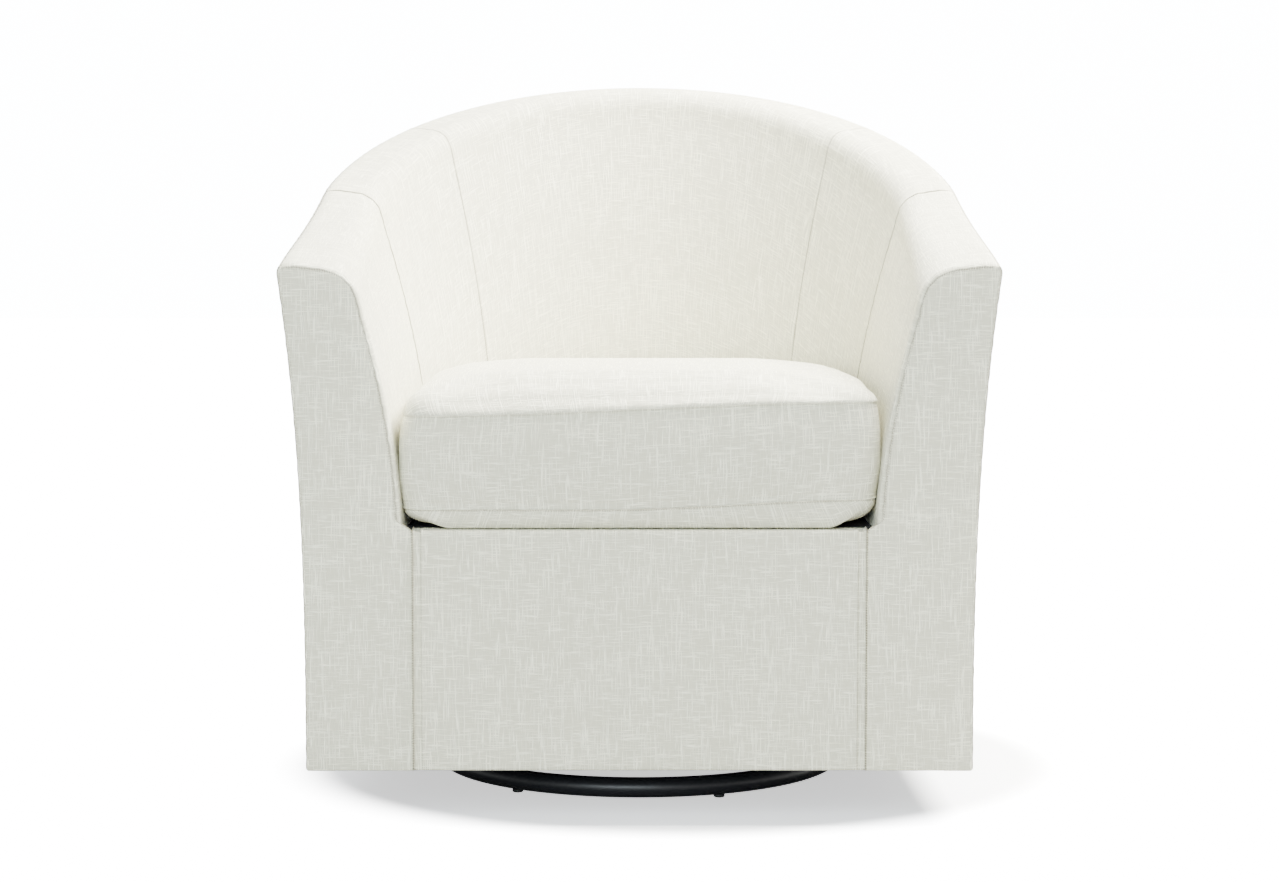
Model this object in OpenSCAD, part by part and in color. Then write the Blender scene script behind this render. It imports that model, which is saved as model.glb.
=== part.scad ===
// Swivel barrel chair: a flared upholstered barrel on a ball-bearing swivel and a tubular ring base.
// Millimetres, +Z up. The origin is on the floor on the swivel axis, and the chair faces -Y.

/* [Barrel] */
// Width across the tops of the arm fronts
chair_w = 737; // [700:1:780]
// Depth from the arm fronts to the top of the back
chair_d = 702; // [680:2:740]
// Height of the arm fronts above the floor
arm_h = 580; // [550:5:620]
// Height of the top of the back above the floor
back_h = 780; // [740:5:840]
// How much narrower the round back is than the arm fronts at the foot, on each side
arm_toe_in = 11; // [8:0.5:16]
// How far the top of an arm leans outwards
arm_flare = 25.5; // [20:0.5:30]
// How far the top of the back leans outwards
back_flare = 48; // [40:1:52]
// Angle of the seam between a wing and the back, from the side
wing_seam = 40; // [35:1:45]

/* [Wall] */
// Distance from the foot of the wall to the inside of an arm, at seat height
arm_in_seat = 99; // [94:1:106]
// The same at the rim, at the front of an arm
arm_in_rim = 46; // [42:1:50]
// The same at the rim, where an arm meets a wing
wing_in_rim = 31; // [29:1:36]
// Distance from the foot of the wall to the inside of the back, at seat height
back_in_seat = 134; // [128:1:138]
// The same at the rim of the back
back_in_rim = 34; // [30:1:42]
// Radius of the rim's outer corner
rim_out_r = 12; // [10:0.5:14]
// Radius of the rim's inner roll
rim_in_r = 31; // [29:1:36]
// How much the rim's top falls towards the inside
rim_fall = 3.4; // [2:0.2:5]
// Thickness of the upholstery cloth with its lining
cloth_t = 2; // [1.5:0.1:2.5]
// Thickness of the foam on the inside of the wall
foam_t = 26; // [22:1:28]
// Thickness of the foam over the rim
rim_foam_t = 18; // [14:1:20]
// Thickness of the fibre padding on the outside
pad_t = 5; // [4:0.5:7]
// Thickness of the stiff boards inside and outside the ribs
board_t = 2.5; // [2:0.1:3]
// Thickness of the padding on the front faces
front_pad_t = 8; // [6:0.5:10]

/* [Timber] */
// Thickness of the plywood ribs, hoop and boards
ply_t = 18; // [15:1:20]
// Width of the seat hoop from the outside in
hoop_w = 142; // [136:1:150]
// Height of the seat hoop's top above the floor
hoop_z = 280; // [272:1:284]
// Width of the base board's rim
base_rim_w = 110; // [100:1:120]
// Width of the bridge that carries the swivel, and of the board that doubles it
bridge_w = 220; // [200:2:240]
// Height of the bent top rail
rail_h = 28; // [24:1:32]

/* [Seat] */
// Height of the deck that the cushion lies on
deck_z = 306; // [303:1:312]
// Thickness of the pad under the deck cloth
deck_pad_t = 11; // [9:0.5:12]
// Depth of the pale lip in front of the black deck cloth
lip_d = 30; // [24:1:40]
// Width of an arm front at its foot
arm_front_w = 111; // [105:1:117]
// Gap between the cushion and the arms at seat height
cushion_gap = 5; // [4:0.5:8]
// Gap between the cushion and the back at seat height
cushion_back_gap = 11; // [9:0.5:13]
// Height of the cushion's front band between its seams
band_h = 105; // [90:1:115]
// Height of the cushion's crown above its upper seam
crown_h = 33; // [20:1:40]
// Depth of the cushion's lower bulge below its lower seam
belly_h = 20; // [14:1:26]
// Radius of the cushion's front corners seen from above
cushion_corner_r = 24; // [18:1:32]
// Diameter of the zigzag spring wire
wire_d = 3.8; // [3:0.1:4.2]
// Overall width of a zigzag spring
spring_w = 46; // [38:1:52]
// Distance between neighbouring springs, as a share of the seat opening's radius
spring_spread = 0.379; // [0.36:0.001:0.39]
// How much the springs arch upwards
spring_arch = 7; // [5:0.5:8]

/* [Swivel] */
// Overall height of the swivel between the bars and the base board
swivel_h = 33; // [32:0.5:38]
// Side of the two square swivel plates
plate_w = 180; // [170:1:190]
// Thickness of the pressed swivel plates
plate_t = 3; // [2.5:0.1:3.5]
// Diameter of a bearing ball
ball_d = 9.5; // [9:0.1:10]
// Radius of the ball track
track_r = 60; // [56:1:64]
// Number of bearing balls
ball_n = 20; // [12:1:24]
// Radius of the rivet that holds the plates together
rivet_r = 10; // [8:0.5:11]
// Radius of the bolts
bolt_r = 4; // [3.5:0.1:4.5]
// Radius of the circle that the bolts stand on
bolt_circle_r = 108; // [104:1:110]

/* [Ring base] */
// Outer diameter of the ring
ring_d = 462; // [440:2:480]
// Diameter of the ring's tube
tube_d = 22; // [20:0.5:25]
// Height of the glides below the tube
foot_h = 3; // [2.5:0.5:5]
// Radius of a glide
foot_r = 6; // [5:0.5:8]
// Number of glides
foot_n = 6; // [4:1:8]
// Angle of the first glide from the right-hand side
foot_turn = -67; // [-90:1:-45]
// Width of the flat bars across the ring
bar_w = 50; // [46:1:60]
// Thickness of the flat bars
bar_t = 6; // [5:0.5:8]
// How deep the bars are let into the tube
bar_sink = 4; // [3:0.5:5]

/* [Hidden] */
$fn = 64;

// Gap between soft or curved pieces that lie on each other
lap = 0.3;
// Running gap of the rivet in the lower plate
run_gap = 0.08;
// Running gap of the balls in their tracks
ball_gap = 0.12;
// How far a cut passes the face that it opens
over = 1;
// Extra room at a rib's corners, because the curved boards are drawn with flat facets
rib_room = 1.1;

// Heights, from the floor up
bar_z = foot_h + tube_d - bar_sink;
swivel_z = bar_z + bar_t;
board_z = swivel_z + swivel_h;
board_top = board_z + ply_t;
dust_t = 0.8;
hem_t = cloth_t;
skirt_z = board_z - lap - hem_t;
dust_z = skirt_z - 0.2 - dust_t;
hem_w = 30;
seat_z = deck_z + 16;
inside_z = hoop_z + lap;

// Distances inwards from the outer cloth
pad_in = cloth_t + lap;
board_in = pad_in + pad_t + lap;
frame_in = board_in + board_t + lap;
rib_in = frame_in + rib_room;
// Distances outwards from the inner cloth
foam_in = cloth_t + lap;
inner_board_in = foam_in + foam_t + lap;
inner_frame_in = inner_board_in + board_t + lap + rib_room;
rail_drop = cloth_t + lap + rim_foam_t + rim_fall + 3;

// Places along Y at the front
front_y = -chair_d / 2;
cover_y = front_y + cloth_t + lap / 3;
front_pad_y = front_y + cloth_t + lap;
frame_y = front_pad_y + front_pad_t + lap;
hoop_y = frame_y + ply_t;

// Plan of the wall: a slightly slanted arm that runs into a round back
front_half_w = chair_w / 2 - arm_flare;
rail_half_w = front_half_w - arm_front_w;
back_r = front_half_w - arm_toe_in;
arc_y = chair_d / 2 - back_flare - back_r;
reach_y = arc_y - cover_y;
reach = norm([front_half_w, reach_y]);
arm_len = sqrt(reach * reach - back_r * back_r);
lean = acos(back_r / reach) - atan2(reach_y, front_half_w);
turn_len = back_r * (90 - lean) * PI / 180;
wall_len = arm_len + turn_len;

// Stations along half the wall: arm, wing and back, and the last station of each
arm_steps = 3;
wing_end = arm_steps + 4;
mid = wing_end + 5;
last = 2 * mid;
wing_far = last - wing_end;
arm_far = last - arm_steps;

function side_of(i) = i <= mid ? -1 : 1;
function half_of(i) = i <= mid ? i : last - i;
function angle_at(j) =
    j <= arm_steps ? lean * j / arm_steps
    : j <= wing_end ? lean + (wing_seam - lean) * (j - arm_steps) / (wing_end - arm_steps)
    : wing_seam + (90 - wing_seam) * (j - wing_end) / (mid - wing_end);
function tangent_point() = [back_r * cos(lean), arc_y + back_r * sin(lean)];
function plan_at(j) =
    let (t = min(j / arm_steps, 1), a = angle_at(j))
    j <= arm_steps ? [front_half_w, cover_y] * (1 - t) + tangent_point() * t
    : [back_r * cos(a), arc_y + back_r * sin(a)];
function way_share(j) =
    (j <= arm_steps ? arm_len * j / arm_steps : arm_len + back_r * (angle_at(j) - lean) * PI / 180)
    / wall_len;
function back_share(j) = j <= arm_steps ? 0 : pow(sin(90 * (angle_at(j) - lean) / (90 - lean)), 2);
function mix(a, b, t) = a + (b - a) * t;

// The rim rises from the arm fronts to the back, first slowly and then evenly, and levels out at the back
rise_early_share = 0.22;
rise_power = 2.28;
function rim_at(j) = let (s = sin(90 * way_share(j)))
    mix(arm_h, back_h, rise_early_share * s + (1 - rise_early_share) * pow(s, rise_power));
function flare_at(j) = mix(arm_flare, back_flare, back_share(j));

// The station on an arm at a place along Y, and the same for an inner outline, which slants back a little
slant_room = 1;
function station_at(y) = arm_steps * (y - cover_y) / (tangent_point().y - cover_y);
function inner_station_at(y) = station_at(y + slant_room);

// Distance inwards from the wall's foot to its outer face, at height z
flare_power = 2.9;
function out_n(j, z) = -flare_at(j)
    * pow(max(0, min(1, (z - skirt_z) / (rim_at(j) - rim_out_r - skirt_z))), flare_power);

// Distance inwards from the wall's foot to its inner face, at height z
lean_even_share = 0.3;
function in_n(j, z) =
    let (v = (z - seat_z) / (rim_at(j) - seat_z), seat_n = mix(arm_in_seat, back_in_seat, back_share(j)),
        rim_n = j <= arm_steps ? mix(arm_in_rim, wing_in_rim, j / arm_steps)
            : mix(wing_in_rim, back_in_rim, back_share(j)))
    seat_n - (seat_n - rim_n) * (lean_even_share * v + (1 - lean_even_share) * v * abs(v));

// Section of the wall as [distance inwards, height], point k of 0 to 16, set d inside its outer face:
// 0 to 5 up the outside, 6 and 7 round the outer corner, 8 to 12 round the inner roll, 13 to 16 down
out_shares = [0, 0.3, 0.55, 0.75, 0.9, 1];
in_shares = [0.3, 0.6, 0.85, 1];
least_r = 1;
function section(j, k, d, foot_z = skirt_z, in_foot_z = inside_z) =
    let (h = rim_at(j), round_z = h - rim_out_r, r_out = max(rim_out_r - d, least_r),
        roll_z = h - rim_fall - rim_in_r, roll_n = in_n(j, roll_z), r_in = max(rim_in_r - d, least_r),
        a = 90 - (k - 8) * 22.5)
    k <= 5 ? let (z = k == 0 ? foot_z : mix(skirt_z, round_z, out_shares[k])) [out_n(j, z) + d, z]
    : k <= 7 ? let (c = (k - 5) * 45)
        [out_n(j, h) + d + r_out * (1 - cos(c)), h - d - r_out * (1 - sin(c))]
    : k <= 12 ? [roll_n - rim_in_r + r_in * cos(a), roll_z + r_in * sin(a)]
    : let (z = mix(roll_z, in_foot_z, in_shares[k - 13])) [in_n(j, z) - d, z];

// A point of the section in space
function place(i, p) =
    let (j = half_of(i), a = angle_at(j), q = plan_at(j) - p[0] * [cos(a), sin(a)])
    [side_of(i) * q[0], q[1], p[1]];

// Stations from a to b: every whole one between them, and the two ends
function stations(a, b) = [a, for (i = [floor(a) + 1 : 1 : ceil(b) - 1]) i, b];

// A closed skin through rings of equal length that run out over its face and back under it. The diagonals
// match on the face and the back, and they lie the other way from ring turn on.
module rings_solid(rings, turn = undef) {
    n = len(rings[0]);
    m = len(rings);
    pts = [for (r = rings) each r];
    sides = [for (i = [0 : m - 2], k = [0 : n - 1])
        let (a = i * n + k, b = i * n + (k + 1) % n, face = k < n / 2, near = is_undef(turn) || i < turn)
        each face == near ? [[a, b, a + n], [b, b + n, a + n]] : [[a, b, b + n], [a, b + n, a + n]]];
    ends = [for (k = [0 : n / 2 - 2]) let (a = k, b = k + 1, c = n - 2 - k, d = n - 1 - k, e = (m - 1) * n)
        each [[a, d, c], [a, c, b], [e + a, e + c, e + d], [e + a, e + b, e + c]]];
    polyhedron(points = pts, faces = concat(sides, ends), convexity = 10);
}

// A layer of the wall from station a to b, through section points from k0 to k1, between depths d0 and d1
module layer(a, b, k0, k1, d0, d1, foot_z = skirt_z, in_foot_z = inside_z)
    rings_solid([for (i = stations(a, b)) let (j = half_of(i)) concat(
        [for (k = [k0 : k1]) place(i, section(j, k, d0, foot_z, in_foot_z))],
        [for (k = [k1 : -1 : k0]) place(i, section(j, k, is_list(d1) ? d1[k] : d1, foot_z, in_foot_z))])],
        middle_ring(a, b));

// The middle ring of a piece from station a to b, if its right half mirrors its left half
function middle_ring(a, b) = abs(a + b - last) < 0.001 ? (len(stations(a, b)) - 1) / 2 : undef;

module mirrored() mirror([1, 0, 0]) children();

/* Ring base */
tube_r = tube_d / 2;
ring_r = ring_d / 2 - tube_r;
ring_z = foot_h + tube_r;
glide_rise = 2.4;
tube_wall = 1.8;
stem_r = 3.5;
stem_h = 7;

module ring_tube(r) translate([0, 0, ring_z]) rotate_extrude() translate([ring_r, 0]) circle(r);

module at_feet() for (i = [0 : foot_n - 1])
    rotate([0, 0, foot_turn + i * 360 / foot_n]) translate([ring_r, 0, 0]) children();

module base_ring() color("#15181a") difference() {
    ring_tube(tube_r);
    ring_tube(tube_r - tube_wall);
    at_feet() translate([0, 0, foot_h - over]) cylinder(r = stem_r + lap / 3, h = stem_h + over);
}

module foot_glides() color("#101010") difference() {
    at_feet() {
        cylinder(r = foot_r, h = foot_h + glide_rise);
        cylinder(r = stem_r, h = foot_h + stem_h - lap);
    }
    difference() {
        ring_tube(tube_r + lap / 3);
        at_feet() cylinder(r = stem_r, h = ring_z);
    }
}

module bar(from, to) difference() {
    translate([from, -bar_w / 2, bar_z]) cube([to - from, bar_w, bar_t]);
    ring_tube(tube_r + lap / 3);
    cylinder(r = rivet_r + 7, h = board_z);
    for (s = [-1, 1]) translate([s * bolt_circle_r, 0, 0]) cylinder(r = bolt_r + lap, h = board_z);
}

module cross_bar() color("#15181a") rotate([0, 0, 45]) bar(-ring_r - tube_r / 3, ring_r + tube_r / 3);

module half_bars() color("#15181a") for (s = [135, -45])
    rotate([0, 0, s]) bar(bar_w / 2, ring_r + tube_r / 3);

/* Swivel */
ball_r = ball_d / 2;
track_z = swivel_z + swivel_h / 2;
ridge_gap = 3;
ridge_half_w = 10;
ridge_foot_w = 7;
sheet_t = plate_t;
track_wall = 2;
cage_t = 1.5;
bolt_head_h = 5.2;
bolt_head_r = 6.6;
corner_r = 14;
rivet_head_r = rivet_r + 5.5;
rivet_foot_h = 2.2;

module at_corners() for (a = [45 : 90 : 315]) rotate([0, 0, a]) translate([bolt_circle_r, 0, 0]) children();

module plate_square() linear_extrude(plate_t) offset_square(plate_w, corner_r);

module offset_square(w, r) {
    square([w - 2 * r, w], center = true);
    square([w, w - 2 * r], center = true);
    for (x = [-1, 1], y = [-1, 1]) translate([x * (w / 2 - r), y * (w / 2 - r)]) circle(r);
}

// Half of the swivel, standing on z = 0: a square plate with a raised track ring and a flat hub
module swivel_half(hub_z, hole_r) {
    top = swivel_h / 2 - ridge_gap;
    under = swivel_h / 2 - ball_r - ball_gap - track_wall;
    in_r = track_r - ridge_half_w;
    out_r = track_r + ridge_half_w;
    difference() {
        union() {
            difference() {
                plate_square();
                translate([0, 0, -over]) cylinder(r = out_r + ridge_foot_w, h = plate_t + 2 * over);
            }
            rotate_extrude() polygon([[out_r + ridge_foot_w, 0], [out_r + ridge_foot_w + sheet_t, 0],
                [out_r + ridge_foot_w + sheet_t, plate_t], [out_r + ridge_foot_w, plate_t], [out_r, top],
                [in_r, top], [in_r - ridge_foot_w, hub_z + plate_t], [hole_r, hub_z + plate_t],
                [hole_r, hub_z], [in_r - ridge_foot_w, hub_z], [in_r + sheet_t, under],
                [out_r - sheet_t, under]]);
        }
        translate([0, 0, swivel_h / 2]) rotate_extrude() translate([track_r, 0]) circle(ball_r + ball_gap);
        at_corners() translate([0, 0, -over]) cylinder(r = bolt_r + lap, h = plate_t + 2 * over);
    }
}

module lower_plate() color("#3a3d40") translate([0, 0, swivel_z]) swivel_half(0, rivet_r + run_gap);

module upper_plate() color("#3a3d40") translate([0, 0, board_z]) mirror([0, 0, 1])
    swivel_half(plate_t, rivet_r + run_gap / 4);

module ball_cage() color("#c8a24a") difference() {
    translate([0, 0, track_z - cage_t / 2]) difference() {
        cylinder(r = track_r + ridge_half_w - 1, h = cage_t);
        translate([0, 0, -over]) cylinder(r = track_r - ridge_half_w + 1, h = cage_t + 2 * over);
    }
    for (i = [0 : ball_n - 1]) rotate([0, 0, i * 360 / ball_n]) translate([track_r, 0, 0])
        cylinder(r = ball_r + ball_gap, h = board_z);
}

module bearing_balls() color("silver") for (i = [0 : ball_n - 1])
    rotate([0, 0, i * 360 / ball_n]) translate([track_r, 0, track_z]) sphere(ball_r);

module king_rivet() color("#8a8d90") {
    foot_z = swivel_z - lap - rivet_foot_h;
    translate([0, 0, foot_z]) cylinder(r = rivet_r, h = board_z - foot_z);
    translate([0, 0, foot_z]) cylinder(r = rivet_head_r, h = rivet_foot_h);
    translate([0, 0, board_z - plate_t]) cylinder(r = rivet_head_r, h = plate_t);
}

nut_h = 6.5;
plate_bolt_len = plate_t + bar_t + nut_h + 2;

module plate_bolts() color("#9a9da0") at_corners() {
    translate([0, 0, swivel_z + plate_t]) cylinder(r = bolt_head_r, h = bolt_head_h);
    translate([0, 0, swivel_z + plate_t - plate_bolt_len]) cylinder(r = bolt_r, h = plate_bolt_len);
}

module plate_nuts() color("#9a9da0") at_corners() difference() {
    translate([0, 0, bar_z - nut_h]) cylinder(r = bolt_head_r, h = nut_h, $fn = 6);
    translate([0, 0, bar_z - nut_h - over]) cylinder(r = bolt_r + run_gap, h = nut_h + 2 * over);
}

doubler_top = board_top + ply_t;
tee_t = 1.6;
tee_r = 11;
tee_barrel_r = bolt_r + 1.4;
tee_barrel_h = 11;

module mounting_bolts() color("#9a9da0") at_corners() {
    translate([0, 0, board_z - plate_t - bolt_head_h]) cylinder(r = bolt_head_r, h = bolt_head_h);
    translate([0, 0, board_z - plate_t]) cylinder(r = bolt_r, h = plate_t + 2 * ply_t + tee_t);
}

module tee_nuts() color("#b9bcc0") at_corners() difference() {
    union() {
        translate([0, 0, doubler_top]) cylinder(r = tee_r, h = tee_t);
        translate([0, 0, doubler_top - tee_barrel_h]) cylinder(r = tee_barrel_r, h = tee_barrel_h);
    }
    translate([0, 0, board_z]) cylinder(r = bolt_r + run_gap, h = 3 * ply_t);
}

/* Timber frame */
// Outline of the wall at height z, set in by n from its outer face, or from its foot if from_foot is true
function outline(n, z, a = 0, from_foot = false) = [for (i = stations(a, last - a)) let (j = half_of(i))
    let (p = place(i, [n + (from_foot ? 0 : out_n(j, z)), z])) [p[0], p[1]]];

rib_stations = [arm_steps, wing_end, mid, wing_far, arm_far];
front_rib = station_at(frame_y + ply_t / 2);

module at_rib(i) {
    j = half_of(i);
    q = plan_at(j);
    translate([side_of(i) * q[0], q[1], 0])
        rotate([0, 0, i <= mid ? -angle_at(j) : angle_at(j) + 180]) children();
}

// A plywood rib that stands on the base board, with the wall's section inside its boards
module rib(i, foot_n = 0) at_rib(i) {
    j = half_of(i);
    top_z = rim_at(j) - rail_drop - rail_h - 0.3 * ply_t / 2;
    outer = [for (k = [0 : 5]) let (p = section(j, k, rib_in, board_top)) if (p[1] < top_z) p];
    step_n = max(in_n(j, seat_z) - inner_frame_in, foot_n);
    inner = [for (z = [top_z, mix(top_z, seat_z, 0.35), mix(top_z, seat_z, 0.7), seat_z])
        [in_n(j, z) - inner_frame_in, z]];
    foot = foot_n > 0 ? [[in_n(j, hoop_z) - inner_frame_in, hoop_z], [step_n, hoop_z]] : [];
    rotate([90, 0, 0]) linear_extrude(ply_t, center = true) polygon(concat(
        outer, [[out_n(j, top_z) + rib_in, top_z]], inner, foot, [[step_n, board_top]]));
}

module rib_front_left() color("#d8b98a") rib(front_rib, rib_foot_n);
module rib_front_right() color("#d8b98a") rib(last - front_rib, rib_foot_n);
module rib_side_left() color("#d8b98a") rib(arm_steps);
module rib_side_right() color("#d8b98a") rib(arm_far);
module rib_rear_left() color("#d8b98a") rib(wing_end);
module rib_rear_right() color("#d8b98a") rib(wing_far);
module rib_back() color("#d8b98a") rib(mid);
rib_foot_n = front_half_w - rail_half_w - cloth_t - lap - slant_room;

module rib_slots(z, h, room) for (i = rib_stations) at_rib(i)
    translate([-over, -ply_t / 2 - room, z]) cube([over + slot_depth(i) + room, ply_t + 2 * room, h]);
function slot_depth(i) = in_n(half_of(i), hoop_z) - inner_frame_in + 3;

module seat_hoop() color("#d8b98a") difference() {
    z = hoop_z - ply_t;
    translate([0, 0, z]) linear_extrude(ply_t) polygon(outline(frame_in, z, inner_station_at(hoop_y)));
    translate([0, 0, z - over]) linear_extrude(ply_t + 2 * over)
        polygon(outline(frame_in + hoop_w, z, inner_station_at(hoop_y + hoop_front_w)));
    rib_slots(z - over, ply_t + 2 * over, lap);
}
hoop_front_w = 60;

module base_board() color("#d8b98a") difference() {
    translate([0, 0, board_z]) linear_extrude(ply_t) polygon(outline(frame_in, board_z, station_at(frame_y)));
    difference() {
        translate([0, 0, board_z - over]) linear_extrude(ply_t + 2 * over)
            polygon(outline(frame_in + base_rim_w, board_z, station_at(frame_y + base_rim_w)));
        translate([-bridge_w / 2, front_y, board_z - 2 * over]) cube([bridge_w, chair_d, ply_t + 4 * over]);
    }
    at_corners() translate([0, 0, board_z - over]) cylinder(r = bolt_r + lap, h = ply_t + 2 * over);
}

module doubler_board() color("#cfae7c") difference() {
    translate([-bridge_w / 2, -bridge_w / 2, board_top]) cube([bridge_w, bridge_w, ply_t]);
    at_corners() translate([0, 0, board_top - over]) cylinder(r = bolt_r + lap, h = ply_t + 2 * over);
    at_corners() translate([0, 0, doubler_top - tee_barrel_h - lap])
        cylinder(r = tee_barrel_r + lap / 3, h = tee_barrel_h + lap + over);
}

module front_rail_board() color("#d8b98a") {
    translate([-rail_half_w - cloth_t, frame_y, board_top])
        cube([2 * (rail_half_w + cloth_t), ply_t, deck_z - cloth_t - lap - board_top]);
}

module top_rail() color("#d8b98a") {
    a = station_at(hoop_y + lap);
    rings_solid([for (i = stations(a, last - a)) let (j = half_of(i), z1 = rim_at(j) - rail_drop,
        z0 = z1 - rail_h, n1 = in_n(j, rim_at(j) - rim_fall - rim_in_r) - inner_frame_in)
        [place(i, [out_n(j, z0) + frame_in, z0]), place(i, [out_n(j, z1) + frame_in, z1]),
            place(i, [n1, z1]), place(i, [n1, z0])]], middle_ring(a, last - a));
}

module three_boards(from_y, k0, k1, d0, d1, foot_z = skirt_z) {
    for (s = [0, 1]) mirror([s, 0, 0]) layer(station_at(from_y), wing_end, k0, k1, d0, d1, foot_z);
    layer(wing_end, wing_far, k0, k1, d0, d1, foot_z);
}

module inner_boards() color("#8c7a5c")
    three_boards(frame_y, 12, 16, inner_board_in, inner_board_in + board_t);
module outer_boards() color("#8c7a5c")
    three_boards(frame_y, 0, 5, board_in, board_in + board_t, board_z);
module outer_padding() color("#f4f4f0")
    three_boards(frame_y, 0, 5, pad_in, pad_in + pad_t, board_z);

/* Seat deck */
wire_r = wire_d / 2;
clip_t = 1.2;
spring_z = hoop_z + clip_t + wire_r;
opening_r = back_r - (frame_in + hoop_w);
spring_xs = [for (k = [-2 : 2]) k * spring_spread * opening_r];
opening_y = hoop_y + hoop_front_w;
clip_in = 7.5;
spring_pitch = 28;
spring_sides = 6;

function spring_end_y(x) = arc_y + sqrt(opening_r * opening_r - x * x) + clip_in;
function spring_start_y() = opening_y - clip_in;
function spring_turns(x) = round((spring_end_y(x) - spring_start_y()) / spring_pitch);

// Centre line of a zigzag spring: cross wires joined by half-round bends, arched between its two ends
bend_angles = [-75, 0, 75];
function spring_points(x) =
    let (y0 = spring_start_y(), n = spring_turns(x), pitch = (spring_end_y(x) - y0) / n,
        flat = concat([[x, y0]], [for (k = [0 : n - 1], a = bend_angles) let (s = k % 2 == 0 ? 1 : -1)
            [x + s * (spring_w / 2 - pitch / 2 + pitch / 2 * cos(a)), y0 + pitch * (k + 0.5 + 0.5 * sin(a))]],
            [[x, y0 + pitch * n]]))
    [for (p = flat) [p[0], p[1], spring_z + spring_arch * sin(180 * (p[1] - y0) / (pitch * n))]];

function unit(v) = v / norm(v);
// Rings of a round tube along points p, set square to the mean of the two runs that meet there
function tube_rings(p, r, sides) = [for (i = [0 : len(p) - 1])
    let (d = unit(p[min(i + 1, len(p) - 1)] - p[max(i - 1, 0)]), side = unit(cross(d, [0, 0, 1])),
        up = cross(side, d))
    [for (k = [0 : sides - 1]) let (a = 360 * (k + 0.5) / sides) p[i] + r * (cos(a) * side + sin(a) * up)]];

module zigzag_springs() color("#8f9296") for (x = spring_xs)
    rings_solid(tube_rings(spring_points(x), wire_r, spring_sides));

clip_l = 22;
clip_d = 14;

module spring_clip() difference() {
    translate([-clip_l / 2, -clip_d / 2, 0]) cube([clip_l, clip_d, 2 * clip_t + wire_d]);
    translate([-clip_l / 2 - over, 0, clip_t + wire_r]) rotate([0, 90, 0])
        cylinder(r = wire_r + run_gap, h = clip_l + 2 * over);
    translate([-clip_l / 2 - over, 0, clip_t]) cube([clip_l + 2 * over, clip_d, wire_d]);
}

module spring_clips() color("#b9bcc0") for (x = spring_xs) {
    translate([x, spring_start_y(), hoop_z]) spring_clip();
    translate([x, spring_end_y(x), hoop_z]) rotate([0, 0, 180]) spring_clip();
}

deck_gap = 2;
deck_low_z = deck_z - cloth_t - lap - deck_pad_t;
function deck_outline(y, n) = [for (i = stations(inner_station_at(y), last - inner_station_at(y)))
    let (j = half_of(i), p = place(i, [in_n(j, hoop_z) + n, 0])) [p[0], p[1]]];

module deck_pad() color("#e9e6da") translate([0, 0, deck_low_z]) linear_extrude(deck_pad_t)
    polygon(deck_outline(hoop_y + lap, deck_gap));

module deck_cover() color("#141414") translate([0, 0, deck_z - cloth_t]) linear_extrude(cloth_t)
    polygon(deck_outline(front_y + lip_d + lap, deck_gap));

/* Foam and padding */
foam_steps = [0, 0, 0, 0, 0, 0, foam_in + pad_t, foam_in + rim_foam_t, foam_in + rim_foam_t,
    foam_in + mix(rim_foam_t, foam_t, 0.25), foam_in + mix(rim_foam_t, foam_t, 0.5),
    foam_in + mix(rim_foam_t, foam_t, 0.75), foam_in + foam_t, foam_in + foam_t, foam_in + foam_t,
    foam_in + foam_t, foam_in + foam_t];

module wall_foam(a, b) color("#f2ead0") layer(a, b, 6, 16, foam_in, foam_steps);
foam_start = station_at(frame_y);

module arm_foam_left() wall_foam(foam_start, arm_steps);
module arm_foam_right() mirrored() arm_foam_left();
module wing_foam_left() wall_foam(arm_steps, wing_end);
module wing_foam_right() mirrored() wing_foam_left();
module back_foam() wall_foam(wing_end, wing_far);

// Outline of an arm front, set in by d: the wall's section down to the deck, then straight to the floor side
function front_outline(d, low_z, step_z) = concat(
    [for (k = [0 : 16]) section(0, k, d, low_z, step_z)],
    [[front_half_w - rail_half_w - d, step_z], [front_half_w - rail_half_w - d, low_z]]);

module front_plate(side, y, t, d, low_z, step_z)
    translate([side * front_half_w, y + t, 0]) mirror([side > 0 ? 1 : 0, 0, 0])
        rotate([90, 0, 0]) linear_extrude(t) polygon(front_outline(d, low_z, step_z));

module front_pad(side) color("#f4f4f0")
    front_plate(side, front_pad_y, front_pad_t, foam_in + lap, board_z, inside_z - lap);
module front_pad_left() front_pad(-1);
module front_pad_right() front_pad(1);

module rail_pad() color("#f4f4f0") translate([-rail_half_w - lap, front_pad_y, board_z])
    cube([2 * (rail_half_w + lap), front_pad_t, deck_z - cloth_t - lap - board_z]);

/* Covers */
cream = "#ecebe4";

module arm_front_cover(side) color(cream) front_plate(side, front_y, cloth_t, 0, skirt_z, deck_z);
module arm_front_cover_left() arm_front_cover(-1);
module arm_front_cover_right() arm_front_cover(1);

module rail_cover() color(cream) {
    w = 2 * rail_half_w - lap;
    translate([-w / 2, front_y, skirt_z]) cube([w, cloth_t, deck_z - skirt_z]);
    translate([-w / 2, front_y, deck_z - cloth_t]) cube([w, lip_d, cloth_t]);
    translate([-w / 2, front_y, skirt_z]) cube([w, hem_w, hem_t]);
}

module inside_cover(a, b) color(cream) layer(a, b, 6, 16, 0, cloth_t);
module inside_arm_cover_left() inside_cover(0, arm_steps);
module inside_arm_cover_right() mirrored() inside_arm_cover_left();
module inside_wing_cover_left() inside_cover(arm_steps, wing_end);
module inside_wing_cover_right() mirrored() inside_wing_cover_left();
module inside_back_cover() inside_cover(wing_end, wing_far);

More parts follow.
